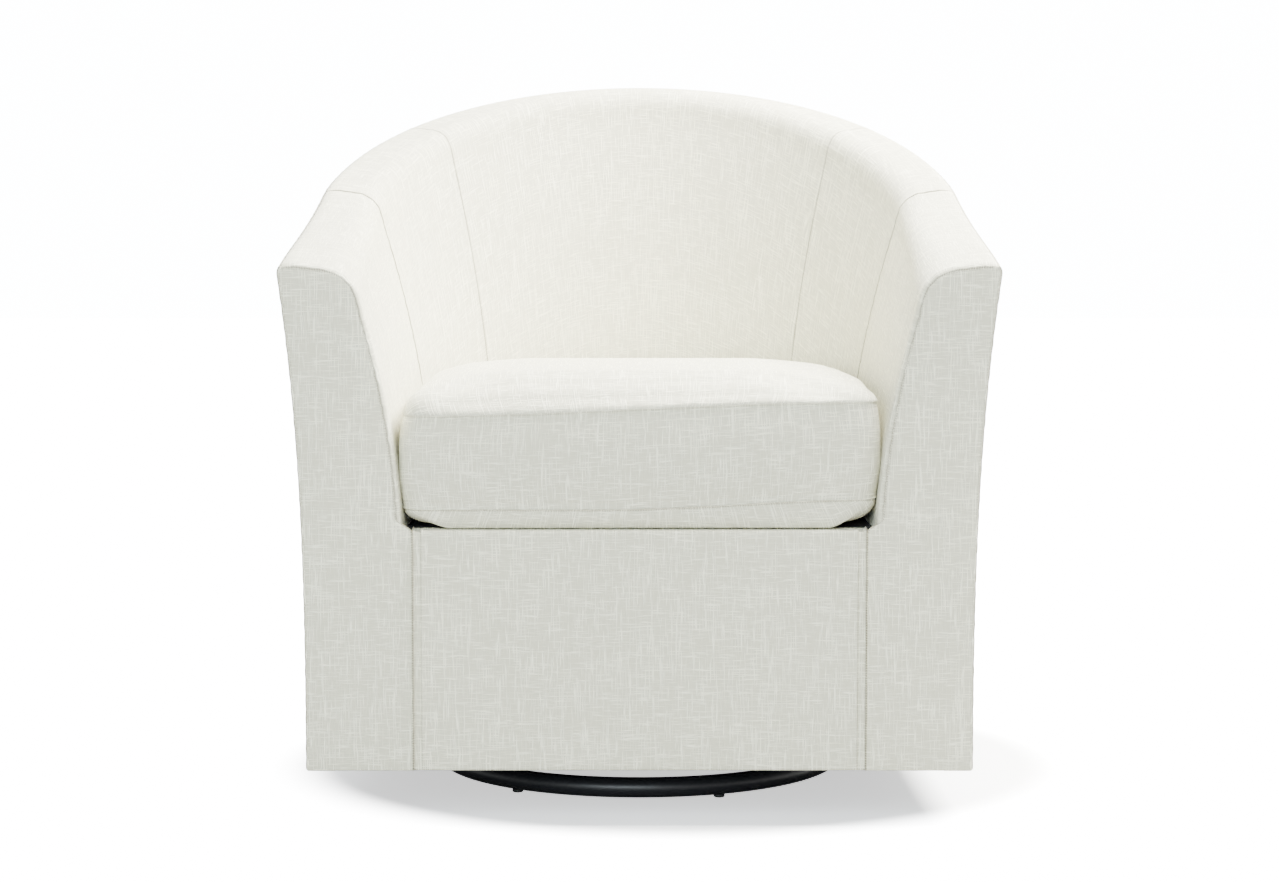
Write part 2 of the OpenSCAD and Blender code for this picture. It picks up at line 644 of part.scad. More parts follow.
// An outer cover with its hem turned in under the base board
module outside_cover(a, b) color(cream) rings_solid([for (i = stations(a, b)) let (j = half_of(i)) concat(
    [place(i, [hem_w, skirt_z])], [for (k = [0 : 6]) place(i, section(j, k, 0))],
    [for (k = [6 : -1 : 1]) place(i, section(j, k, cloth_t))],
    [place(i, section(j, 0, cloth_t, skirt_z + hem_t)), place(i, [hem_w, skirt_z + hem_t])])],
    middle_ring(a, b));
module outside_cover_left() outside_cover(0, wing_end);
module outside_cover_right() mirrored() outside_cover_left();
module outside_back_cover() outside_cover(wing_end, wing_far);

dust_hole_r = plate_w / 2 * sqrt(2) + 6;
module dust_cover() color("#141414") difference() {
    translate([0, 0, dust_z]) linear_extrude(dust_t)
        polygon(outline(hem_w / 2, skirt_z, station_at(front_y + hem_w / 2), true));
    translate([0, 0, dust_z - over]) cylinder(r = dust_hole_r, h = dust_t + 2 * over);
}

/* Seat cushion */
cushion_low = deck_z + lap;
seam_low = cushion_low + belly_h;
seam_high = seam_low + band_h;
cushion_front = front_y + 6;
cushion_middle_share = 0.372;
cushion_y = front_y + cushion_middle_share * chair_d;
side_start = station_at(cushion_front + cushion_corner_r);

function cushion_edge(i) = let (j = half_of(i), gap = mix(cushion_gap, cushion_back_gap, back_share(j)),
    p = place(i, [in_n(j, seat_z) + gap, 0])) [p[0], p[1]];
function corner_points(x, side) = [for (a = side > 0 ? [0, -30, -60, -90] : [-90, -120, -150, 180])
    [x + cushion_corner_r * cos(a), cushion_front + cushion_corner_r + cushion_corner_r * sin(a)]];
// Outline of the cushion seen from above, from the left front corner round the back to the right one
cushion_sides = [for (i = stations(side_start, last - side_start)) cushion_edge(i)];
corner_x = cushion_sides[len(cushion_sides) - 1][0] - cushion_corner_r;
front_shares = [0.5, 0, -0.5];
cushion_plan = concat([for (k = [1 : len(cushion_sides) - 2]) cushion_sides[k]], corner_points(corner_x, 1),
    [for (s = front_shares) [corner_x * s, cushion_front]], corner_points(-corner_x, -1));

// Levels of the cushion: [share of the plan, height], from its underside up to its crown
levels = [[0.55, cushion_low], [0.86, cushion_low + 0.12 * belly_h], [0.96, cushion_low + 0.5 * belly_h],
    [1, seam_low], [1.018, mix(seam_low, seam_high, 0.3)], [1.023, mix(seam_low, seam_high, 0.7)],
    [1.02, seam_high], [0.975, seam_high + 0.42 * crown_h], [0.88, seam_high + 0.72 * crown_h],
    [0.62, seam_high + 0.94 * crown_h], [0.3, seam_high + crown_h]];
low_seam = 3;
high_seam = 6;
top_level = len(levels) - 1;

// Ring of the cushion at a level, set d inside the cover
function cushion_ring(l, d) =
    let (s = levels[l][0], up = l < low_seam ? 1 : l > high_seam ? -1 : 0, mean_r = chair_w / 4)
    [for (p = cushion_plan) let (q = [p[0], p[1] - cushion_y] * (s - d / mean_r))
        [q[0], q[1] + cushion_y, levels[l][1] + up * d]];

// A closed solid through rings of the cushion, closed by a fan at each end
module cushion_solid(rings) {
    n = len(rings[0]);
    m = len(rings);
    mean = function(r) [for (c = [0 : 2]) ([for (p = r) 1] * [for (p = r) p[c]]) / n];
    pts = concat([for (r = rings) each r], [mean(rings[0]), mean(rings[m - 1])]);
    sides = [for (i = [0 : m - 2], k = [0 : n - 1]) let (a = i * n + k, b = i * n + (k + 1) % n)
        each [[a, b, a + n], [b, b + n, a + n]]];
    fans = [for (k = [0 : n - 1]) let (b = (k + 1) % n, e = (m - 1) * n)
        each [[n * m, b, k], [n * m + 1, e + k, e + b]]];
    polyhedron(points = pts, faces = concat(sides, fans), convexity = 10);
}

module cushion_foam() color("#f2ead0")
    cushion_solid([for (l = [0 : top_level]) cushion_ring(l, cloth_t + lap)]);

// The two panels are skins, open towards the foam, so their rings run out and back again
module cushion_top() color(cream) cushion_solid(concat(
    [for (l = [top_level : -1 : high_seam]) cushion_ring(l, cloth_t)],
    [for (l = [high_seam : top_level]) cushion_ring(l, 0)]));
module cushion_bottom() color(cream) cushion_solid(concat(
    [for (l = [0 : low_seam]) cushion_ring(l, 0)],
    [for (l = [low_seam : -1 : 0]) cushion_ring(l, cloth_t)]));

module cushion_boxing() color(cream) {
    rings = concat([for (l = [low_seam : high_seam]) cushion_ring(l, 0)],
        [for (l = [high_seam : -1 : low_seam]) cushion_ring(l, cloth_t)]);
    n = len(rings[0]);
    m = len(rings);
    polyhedron(points = [for (r = rings) each r], convexity = 10,
        faces = [for (i = [0 : m - 1], k = [0 : n - 1])
            let (next = (i + 1) % m * n, a = i * n + k, b = i * n + (k + 1) % n, c = next + k)
            each [[a, b, c], [b, next + (k + 1) % n, c]]]);
}

// Zip at the back of the band. Its slider turns about the centre of the band's rear curve.
zip_z = mix(seam_low, seam_high, 0.5);
zip_share = mix(levels[4][0], levels[5][0], 0.5);
function band_point(i) = let (p = cushion_edge(i))
    [p[0] * zip_share, (p[1] - cushion_y) * zip_share + cushion_y];
zip_a = wing_end + 1;
zip_back = band_point(mid);
zip_end = band_point(zip_a);
zip_centre_y = (zip_back.y * zip_back.y - zip_end * zip_end) / (2 * (zip_back.y - zip_end.y));
zip_r = zip_back.y - zip_centre_y;
zip_half_turn = atan2(-zip_end.x, zip_end.y - zip_centre_y);
tape_h = 12;
tape_t = 0.8;
tape_low = 0.4;
slider_low = tape_low + tape_t + 0.94;
slider_t = 1.6;
slider_l = 11;
slider_w = 9;
tab_l = 14;
tab_w = 6;
tab_t = 0.8;

module zip_tape() color("#d9d8d0") rings_solid([for (i = [zip_a : last - zip_a])
    let (p = band_point(i), d = unit([p.x, p.y - zip_centre_y]), a = p + tape_low * d,
        b = p + (tape_low + tape_t) * d)
    [[a.x, a.y, zip_z - tape_h / 2], [b.x, b.y, zip_z - tape_h / 2], [b.x, b.y, zip_z + tape_h / 2],
        [a.x, a.y, zip_z + tape_h / 2]]]);

module zip_slider() color("#c9ccd0") translate([0, zip_centre_y, zip_z]) rotate([0, 0, zip_half_turn])
    translate([0, zip_r + slider_low, 0]) {
        difference() {
            translate([-slider_l / 2, 0, -slider_w / 2]) cube([slider_l, slider_t, slider_w]);
            translate([-slider_l / 2 - over, slider_t / 2, 0]) rotate([0, 90, 0])
                cylinder(r = 0.5, h = slider_l + 2 * over);
        }
        translate([-tab_w / 2, slider_t, -tab_l]) cube([tab_w, tab_t, tab_l + slider_w / 4]);
    }

base_ring();
foot_glides();
cross_bar();
half_bars();
lower_plate();
plate_bolts();
plate_nuts();
ball_cage();
bearing_balls();
upper_plate();
king_rivet();
mounting_bolts();
tee_nuts();
base_board();
doubler_board();
seat_hoop();
front_rail_board();
rib_front_left();
rib_front_right();
rib_side_left();
rib_side_right();
rib_rear_left();
rib_rear_right();
rib_back();
top_rail();
inner_boards();
outer_boards();
zigzag_springs();
spring_clips();
deck_pad();
deck_cover();
arm_foam_left();
arm_foam_right();
wing_foam_left();
wing_foam_right();
back_foam();
outer_padding();
front_pad_left();
front_pad_right();
rail_pad();
arm_front_cover_left();
arm_front_cover_right();
rail_cover();
inside_arm_cover_left();
inside_arm_cover_right();
inside_wing_cover_left();
inside_wing_cover_right();
inside_back_cover();
outside_cover_left();
outside_cover_right();
outside_back_cover();
dust_cover();
cushion_foam();
cushion_top();
cushion_boxing();
cushion_bottom();
zip_tape();
zip_slider();
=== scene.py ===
# A swivel barrel chair: the looks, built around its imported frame.
# Metres, +Z up, and the chair faces -Y. The sections follow the order in which such a chair is put together.
import math

import bpy
import numpy as np
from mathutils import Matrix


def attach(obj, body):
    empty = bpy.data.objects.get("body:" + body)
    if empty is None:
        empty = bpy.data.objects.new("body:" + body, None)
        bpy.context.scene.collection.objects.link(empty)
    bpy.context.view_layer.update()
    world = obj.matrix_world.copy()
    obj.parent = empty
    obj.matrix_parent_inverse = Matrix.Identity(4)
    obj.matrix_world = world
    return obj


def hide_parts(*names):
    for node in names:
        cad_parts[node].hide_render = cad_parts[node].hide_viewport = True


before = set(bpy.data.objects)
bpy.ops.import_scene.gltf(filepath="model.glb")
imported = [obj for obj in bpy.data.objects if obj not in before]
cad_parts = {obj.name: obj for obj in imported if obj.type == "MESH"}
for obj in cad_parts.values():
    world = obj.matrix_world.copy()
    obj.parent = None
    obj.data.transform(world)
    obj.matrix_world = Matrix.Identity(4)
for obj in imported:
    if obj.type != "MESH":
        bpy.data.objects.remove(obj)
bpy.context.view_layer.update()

# Ring base: one round steel tube bent into a ring and welded shut, powder coated satin black.
# Six moulded glides stand under it, with their stems pressed into holes drilled in the tube.
ring_r = 0.220
tube_r = 0.011
ring_z = 0.014
weld_angle = math.radians(90)
weld_w = 0.004
weld_h = 0.0005
glide_n = 6
glide_turn = math.radians(-67)


def feed(mat, socket, value):
    """A value set on an input, or a link to it where the value is the output of a node."""
    if isinstance(value, bpy.types.NodeSocket):
        mat.node_tree.links.new(value, socket)
    else:
        socket.default_value = value


def node(mat, kind, **values):
    """One more node of a material. Each value is fed to the input of that name, or else set on the node."""
    new = mat.node_tree.nodes.new("ShaderNode" + kind)
    for key, value in values.items():
        socket = new.inputs.get(key.replace("_", " "))
        if socket:
            feed(mat, socket, value)
        else:
            setattr(new, key, value)
    return new


def calc(mat, operation, *values, kind="Math"):
    """The output of a math node that is fed with the values in their order."""
    new = node(mat, kind, operation=operation)
    for socket, value in zip(new.inputs, values):
        feed(mat, socket, value)
    return new.outputs[0]


def dress(mat, **values):
    """Values fed to the sockets of the material's Principled shader."""
    for key, value in values.items():
        feed(mat, mat.node_tree.nodes["Principled BSDF"].inputs[key.replace("_", " ")], value)


def new_finish(name, colour, roughness, **sockets):
    """A node material with one Principled shader, whose even values stand on its own sockets."""
    mat = bpy.data.materials.new(name)
    mat.use_nodes = True
    dress(mat, Base_Color=(*colour, 1), Roughness=roughness, **sockets)
    return mat


def shade_range(mat, value, dark, light):
    """The base colour runs from dark to light as value goes from 0 to 1."""
    blend = node(mat, "Mix", data_type="RGBA", Factor=value, A=(*dark, 1), B=(*light, 1))
    dress(mat, Base_Color=blend.outputs["Result"])


def grained(name, dark, light, grain, rough, lift, stretch=(1, 1, 1), **sockets):
    """A finish whose colour and roughness follow noise of the given grain, stretched along the axes. The
    same noise lifts the surface by up to lift metres."""
    mat = new_finish(name, light, rough[0], **sockets)
    place = node(mat, "TexCoord").outputs["Object"]
    scaled = node(mat, "Mapping", Vector=place, Scale=stretch).outputs[0]
    noise = node(mat, "TexNoise", Vector=scaled, Scale=1 / grain, Detail=4.0, Roughness=0.6).outputs["Fac"]
    band = node(mat, "MapRange", Value=noise, From_Min=0.3, From_Max=0.7, To_Min=rough[0], To_Max=rough[1])
    bump = node(mat, "Bump", Height=noise, Strength=0.6, Distance=lift)
    dress(mat, Roughness=band.outputs[0], Normal=bump.outputs[0])
    shade_range(mat, noise, dark, light)
    return mat


def put_mesh(name, points, faces, corner_uv, material, body):
    """A smooth mesh piece that rides on a body. Faces is a list of index arrays, one for each face size, and
    corner_uv matches it. If the signed volume is negative, every face is turned to look outwards."""
    volume = 0.0
    for group in faces:
        first = points[group[:, 0]]
        for k in range(1, group.shape[1] - 1):
            turn = np.cross(points[group[:, k]], points[group[:, k + 1]])
            volume += (first * turn).sum()
    if volume < 0:
        faces = [group[:, ::-1] for group in faces]
        corner_uv = corner_uv and [corners[:, ::-1] for corners in corner_uv]
    mesh = bpy.data.meshes.new(name)
    mesh.from_pydata(points.tolist(), [], [face for group in faces for face in group.tolist()])
    if corner_uv:
        flat = np.concatenate([corners.reshape(-1) for corners in corner_uv])
        mesh.uv_layers.new(name="cloth").data.foreach_set("uv", flat)
    mesh.shade_smooth()
    mesh.materials.append(material)
    piece = bpy.data.objects.new(name, mesh)
    bpy.context.scene.collection.objects.link(piece)
    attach(piece, body)
    return piece


def grid_faces(rows, cols, join_rows=False, join_cols=False):
    """Quads of a grid of points counted row by row. The last row or column joins the first where asked."""
    i = np.arange(rows if join_rows else rows - 1)[:, None]
    k = np.arange(cols if join_cols else cols - 1)[None, :]
    i2 = (i + 1) % rows
    k2 = (k + 1) % cols
    return np.stack(np.broadcast_arrays(i * cols + k, i * cols + k2, i2 * cols + k2, i2 * cols + k),
                    -1).reshape(-1, 4)


def fan_faces(rows, cols):
    """Triangles that close both ends of a skin of rings to two middle points, which follow the rings'
    points."""
    k = np.arange(cols)
    k2 = (k + 1) % cols
    last = (rows - 1) * cols
    middle = np.full(cols, rows * cols)
    return np.concatenate([np.stack([k2, k, middle], -1), np.stack([last + k, last + k2, middle + 1], -1)])


def rings_mesh(name, rings, material, body, join_rows=False):
    """A closed skin through rings of points, shaped (rings, points round each, 3). The last ring joins the
    first, or a fan to the middle of the ring closes each end."""
    rows, cols = rings.shape[:2]
    faces = [grid_faces(rows, cols, join_rows, True)]
    points = rings.reshape(-1, 3)
    if not join_rows:
        points = np.concatenate([points, rings[[0, -1]].mean(1)])
        faces.append(fan_faces(rows, cols))
    return put_mesh(name, points, faces, None, material, body)


def turned(profile, count, centre=(0, 0)):
    """A profile of (radius, height) rows carried round an upright axis at centre, as rings of count
    points."""
    angle = np.linspace(0, 2 * math.pi, count, endpoint=False)
    radius, height = np.asarray(profile, float).T[:, :, None]
    return np.stack([centre[0] + radius * np.cos(angle), centre[1] + radius * np.sin(angle),
                     height + 0 * angle], -1)


def ring_tube(rounds=240, sides=40):
    """A torus: at each angle round the ring a circle of tube_r stands upright, and it swells by weld_h in a
    bell curve over the weld at the back."""
    around = np.linspace(0, 2 * math.pi, rounds, endpoint=False)[:, None]
    turn = np.linspace(0, 2 * math.pi, sides, endpoint=False)[None, :]
    off = (around - weld_angle) * ring_r / weld_w
    r = tube_r + weld_h * np.exp(-off * off)
    out = ring_r + r * np.cos(turn)
    return np.stack([out * np.cos(around), out * np.sin(around), ring_z + r * np.sin(turn)], -1)


black_coat = grained("black_powder_coat", (0.010, 0.010, 0.012), (0.020, 0.020, 0.023), 0.0016, (0.34, 0.46),
                     0.00006, Coat_Weight=0.15, Coat_Roughness=0.3)
ring = rings_mesh("ring", ring_tube(), black_coat, "base", join_rows=True)
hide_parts("base_ring")

glide_plastic = grained("glide_plastic", (0.012, 0.012, 0.012), (0.022, 0.022, 0.022), 0.0009, (0.5, 0.62),
                        0.00004)
# Profile of a glide and its stem, from the middle of its foot up to the middle of its stem's top
glide_profile = [(0.0008, 0.0), (0.0042, 0.0), (0.0053, 0.0004), (0.0059, 0.0013), (0.006, 0.0024),
                 (0.0058, 0.0032), (0.0052, 0.0036), (0.0036, 0.0036), (0.0035, 0.004), (0.0035, 0.0094),
                 (0.0031, 0.0097), (0.0008, 0.0097)]
for i in range(glide_n):
    a = glide_turn + i * 2 * math.pi / glide_n
    centre = (ring_r * math.cos(a), ring_r * math.sin(a))
    glide = rings_mesh(f"glide_{i + 1}", turned(glide_profile, 32, centre), glide_plastic, "base")
    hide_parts("foot_glides")

# Crossed bars and swivel: flat steel bars coped onto the ring, and two pressed plates that turn on a caged
# ring of balls. Bolts and nuts hold them, and a rivet in the middle keeps the two plates together.
phosphate = grained("dark_phosphate", (0.028, 0.029, 0.032), (0.060, 0.061, 0.064), 0.0022, (0.42, 0.6),
                    0.00005, Metallic=0.85)
bright_zinc = grained("bright_zinc", (0.46, 0.48, 0.51), (0.66, 0.67, 0.70), 0.003, (0.22, 0.38), 0.00003,
                      Metallic=1.0)
ball_steel = grained("ball_steel", (0.66, 0.67, 0.69), (0.74, 0.75, 0.77), 0.004, (0.08, 0.14), 0.00001,
                     Metallic=1.0)
cage_brass = grained("cage_brass", (0.52, 0.37, 0.14), (0.66, 0.50, 0.24), 0.003, (0.28, 0.42), 0.00003,
                     Metallic=1.0)


def finish(material, *names):
    """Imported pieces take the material, and keep their shapes."""
    for name in names:
        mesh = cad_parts[name].data
        mesh.materials.clear()
        mesh.materials.append(material)


finish(black_coat, "cross_bar", "half_bars")
finish(phosphate, "lower_plate", "upper_plate")
finish(bright_zinc, "plate_bolts", "plate_nuts", "mounting_bolts", "tee_nuts", "king_rivet")
finish(ball_steel, "bearing_balls")
finish(cage_brass, "ball_cage")

# Timber frame: ribs, hoop, boards and rails cut from birch plywood, stapled and glued, with thin hardboard
# bent round the ribs inside and outside. It is hidden by the upholstery, and shows only from below.
birch = grained("birch_plywood", (0.50, 0.36, 0.20), (0.74, 0.59, 0.39), 0.012, (0.55, 0.72), 0.0001,
                stretch=(0.12, 1.0, 1.0))
hardboard = grained("hardboard", (0.20, 0.14, 0.08), (0.34, 0.25, 0.15), 0.0014, (0.6, 0.75), 0.0001)
finish(birch, "base_board", "doubler_board", "seat_hoop", "front_rail_board", "rib_front_left",
       "rib_front_right", "rib_side_left", "rib_side_right", "rib_rear_left", "rib_rear_right", "rib_back",
       "top_rail")
finish(hardboard, "inner_boards", "outer_boards")

# Seat springs: five zigzag springs of drawn wire, arched over the seat opening and held in folded clips.
wire_steel = grained("drawn_wire", (0.24, 0.25, 0.27), (0.36, 0.37, 0.39), 0.004, (0.3, 0.45), 0.00003,
                     Metallic=1.0)
finish(wire_steel, "zigzag_springs")
finish(bright_zinc, "spring_clips")

# Inside panels: five panels of linen-look cloth over foam, from the cushion up the wall, over the rolled rim
# and down to the seam on the rim's outer corner. Upright seams part the two arms, the two wings and the back.
# The wall's foot in plan: an arm from (front_half, cover_y) touches a half round back about (0, arc_y)
front_half, cover_y = 0.343, -0.3489
back_r, arc_y = 0.332, -0.029
reach = math.hypot(front_half, arc_y - cover_y)
arm_len = math.sqrt(reach * reach - back_r * back_r)
lean = math.acos(back_r / reach) - math.atan2(arc_y - cover_y, front_half)
wall_len = arm_len + back_r * (math.pi / 2 - lean)
whole_len = 2 * wall_len
wing_angle = math.radians(40)
wing_end = arm_len + back_r * (wing_angle - lean)
front_face = -0.0021
skirt_z, seat_z, inside_foot = 0.0577, 0.322, 0.2803
arm_h, back_h = 0.580, 0.780
arm_flare, back_flare = 0.0255, 0.048
# Depth of the wall from its foot's outer face to its inner face, at the seat and at the rim
arm_seat_in, back_seat_in = 0.099, 0.134
front_rim_in, arm_rim_in, back_rim_in = 0.046, 0.031, 0.034
# The rim: its outer corner, its roll, which is wider at the front, its fall inwards and its swell over the arm
outer_r, roll_r, rim_fall = 0.012, 0.031, 0.0034
roll_front_r, roll_front_len = 0.044, 0.16
rim_swell, rim_swell_len = 0.056, 0.42
inside_t = 0.009
# Tones of the cloth, and the colour of the painted shade and stitches in its seams
cloth_dark, cloth_light, seam_shadow_and_thread = (0.55, 0.527, 0.392), (0.96, 0.935, 0.725), (0.16, 0.13, 0.09)
seam_r, front_seam_r = 0.0010, 0.005
seam_lift, seam_lift_reach, seam_lift_from = 0.0012, 0.006, 0.02
# Gathers beside a seam: their height, their reach from the seam, and their pitch along it
inside_gathers, rim_gathers = (0.00022, 0.009, 0.013), (0.0002, 0.008, 0.011)


def mix(a, b, t):
    """Straight from a to b as t goes from 0 to 1."""
    return a + (b - a) * t


def eased(t):
    """A smooth step from 0 to 1."""
    t = np.clip(t, 0, 1)
    return t * t * (3 - 2 * t)


def from_front(s):
    """Way along the wall's foot from the nearer arm front."""
    return np.minimum(s, whole_len - s)


def wall_place(s, n, z):
    """Points of the wall: s metres along its foot from the left arm front, n inwards from the foot and z
    high. The plan is a straight, slightly leaning arm that runs into a half round back, and its right half
    mirrors the left one."""
    half = from_front(s)
    angle = np.where(half <= arm_len, lean * half / arm_len, lean + (half - arm_len) / back_r)
    t = half / arm_len
    x = np.where(t <= 1, mix(front_half, back_r * math.cos(lean), t), back_r * np.cos(angle))
    y = np.where(t <= 1, mix(cover_y, arc_y + back_r * math.sin(lean), t), arc_y + back_r * np.sin(angle))
    side = np.where(s <= wall_len, -1.0, 1.0)
    return np.stack(np.broadcast_arrays(side * (x - n * np.cos(angle)), y - n * np.sin(angle), z), -1)


def back_share(s):
    """0 along the arms, then the square of a sine up to 1 at the middle of the back."""
    half = from_front(s)
    angle = np.clip((half - arm_len) / back_r, 0, None) / (math.pi / 2 - lean) * math.pi / 2
    return np.sin(angle) ** 2


def rim_at(s):
    """Height of the rim: with the sine S of the way round, it rises by 0.22 S + 0.78 S to the power 2.28.
    Over the arm the padding stands up a little more, by t to the power 0.9 times 1 - t to the power 1.8,
    where t goes from 0 at the arm front to 1 at rim_swell_len."""
    half = np.clip(from_front(s), 0, None)
    rise = np.sin(half / wall_len * math.pi / 2)
    t = np.clip(half / rim_swell_len, 0, 1)
    swell = rim_swell * t ** 0.9 * (1 - t) ** 1.8
    return mix(arm_h, back_h, 0.22 * rise + 0.78 * rise ** 2.28) + swell


def out_n(s, z):
    """Outer face: it leans out by the flare times the height share to the power 2.9."""
    share = np.clip((z - skirt_z) / (rim_at(s) - outer_r - skirt_z), 0, 1)
    return -mix(arm_flare, back_flare, back_share(s)) * share ** 2.9


def in_n(s, z):
    """Inner face: it draws back from its place at the seat to its place at the rim by 0.3 v + 0.7 v |v|,
    where v is the height share above the seat."""
    half = from_front(s)
    v = (z - seat_z) / (rim_at(s) - seat_z)
    at_seat = mix(arm_seat_in, back_seat_in, back_share(s))
    at_rim = np.where(half <= arm_len, mix(front_rim_in, arm_rim_in, half / arm_len),
                      mix(arm_rim_in, back_rim_in, back_share(s)))
    return at_seat - (at_seat - at_rim) * (0.3 * v + 0.7 * v * np.abs(v))


def smoothed(rows, times):
    """Each inner point along the second axis moves to the mean of itself and its neighbours, times over."""
    for _ in range(times):
        inner = (rows[:, :-2] + 2 * rows[:, 1:-1] + rows[:, 2:]) / 4
        rows = np.concatenate([rows[:, :1], inner, rows[:, -1:]], 1)
    return rows


def over_rim(s):
    """The wall's section (n, z) at each s: round the outer corner from its middle, across the rim, round the
    roll and down the inside, with the joints between them smoothed. The roll is wider near the arm fronts."""
    h = rim_at(s)
    out = out_n(s, h)
    half = np.clip(from_front(s), 0, None)
    r = mix(roll_front_r, roll_r, eased(half / roll_front_len))
    roll_z = h - rim_fall - r
    roll_n = in_n(s, roll_z) - r
    c = np.radians(np.linspace(45, 90, 5))
    t = np.linspace(0, 1, 12)[1:-1]
    a = np.radians(np.linspace(90, 0, 18))
    down = np.linspace(0, 1, 72)[1:]
    z = mix(roll_z, inside_foot, down)
    n = np.concatenate([out + outer_r * (1 - np.cos(c)), mix(out + outer_r, roll_n, t),
                        roll_n + r * np.cos(a), in_n(s, z)], 1)
    height = np.concatenate([h - outer_r * (1 - np.sin(c)), mix(h, roll_z + r, t),
                             roll_z + r * np.sin(a), z], 1)
    return smoothed(np.stack([n, height], -1), 8)


def steps_to_seams(start, end, count, r_start, r_end):
    """Places from start to end, close together at both ends, and how deep each is turned in: a quarter round
    of radius r_start at the start and r_end at the end."""
    phi = np.radians(np.linspace(0, 90, 7))
    near, far = start + r_start * (1 - np.cos(phi)), end - r_end * (1 - np.cos(phi[::-1]))
    place = np.concatenate([near, np.linspace(near[-1], far[0], count)[1:-1], far])
    deep = np.concatenate([r_start * (1 - np.sin(phi)), np.zeros(count - 2), r_end * (1 - np.sin(phi[::-1]))])
    return place, deep


def turned_in(way):
    """How deep a face is turned in this way from its seam: a quarter round of radius seam_r."""
    phi = np.clip(1 - way / seam_r, 0, 1)
    return seam_r * (1 - np.sqrt(1 - phi * phi))


def outward(grid):
    """Unit normals of a grid of points, crossed from its two directions, on the side where they look out."""
    normal = np.cross(np.gradient(grid, axis=1), np.gradient(grid, axis=0))
    return normal / np.linalg.norm(normal, axis=-1, keepdims=True)


def lengths(points, axis):
    """Way from the first point along an axis of a grid."""
    gap = np.linalg.norm(np.diff(points, axis=axis), axis=-1)
    pad = [(0, 0), (0, 0)]
    pad[axis] = (1, 0)
    return np.pad(np.cumsum(gap, axis=axis), pad)


def puckers(along, across, high, reach, pitch):
    """Small gathers beside a seam: two sines of unlike pitch along it, which die away across reach metres."""
    wave = np.sin(along * 2 * math.pi / pitch) + 0.7 * np.sin(along * 2 * math.pi / (pitch * 1.618) + 1.3)
    return high * wave * np.exp(-across / reach)


def seam_ways(face, first_row, last_row, first_col, last_col):
    """For each point of a face, the way to the nearest sewn edge and the way along that edge. Each of the
    four edges counts only where it is marked as sewn."""
    rows_way, cols_way = lengths(face, 0), lengths(face, 1)
    far = 1.0
    ways = np.stack([rows_way if first_row else far + 0 * rows_way,
                     rows_way[-1:] - rows_way if last_row else far + 0 * rows_way,
                     cols_way if first_col else far + 0 * cols_way,
                     cols_way[:, -1:] - cols_way if last_col else far + 0 * cols_way])
    return ways.min(0), np.where(ways.argmin(0) < 2, cols_way, rows_way)


def mark_seams(piece, way, stitch, start=0.0, pace=1.0):
    """Point attributes for the cloth's painted seam shade and its stitches: the way along the seam, and the
    way to it, counted from start and at the given pace, so that a high start makes a faint line and a low pace
    a broad one."""
    way = start + pace * way
    for key, values in (("seam_way", way), ("stitch_way", stitch)):
        values = np.asarray(values, np.float32).reshape(-1)
        rest = len(piece.data.vertices) - len(values)
        layer = piece.data.attributes.new(key, "FLOAT", "POINT")
        layer.data.foreach_set("value", np.concatenate([values, np.ones(rest, np.float32)]))


def panel(name, face, back, uv, sewn, material, start=0.0004, pace=0.35, fold_shadow_way=1.0):
    """A closed padded panel: a grid of points for its face, one of the same shape for its back, and a strip
    round the edge between them. Sewn says which edges are seams: first and last row, first and last column.
    Beside them the cloth gets painted shade, in stitches. The last argument is the way to a folded edge inside
    the face, where there is one, along which a line of painted shadow is drawn too."""
    rows, cols = face.shape[:2]
    count = rows * cols
    front = grid_faces(rows, cols)
    top, left = np.arange(cols), np.arange(rows) * cols
    edge = np.concatenate([top[:-1], left[:-1] + cols - 1, top[:0:-1] + (rows - 1) * cols, left[:0:-1]])
    ahead = np.roll(edge, -1)
    strip = np.stack([ahead, edge, edge + count, ahead + count], -1)
    faces = np.concatenate([front, front[:, ::-1] + count, strip])
    flat = np.tile(uv.reshape(-1, 2), (2, 1))
    points = np.concatenate([face.reshape(-1, 3), back.reshape(-1, 3)])
    piece = put_mesh(name, points, [faces], [flat[faces]], material, "chair")
    way, stitch = seam_ways(face, *sewn)
    mark_seams(piece, np.minimum(way, fold_shadow_way), stitch, start, pace)
    return piece


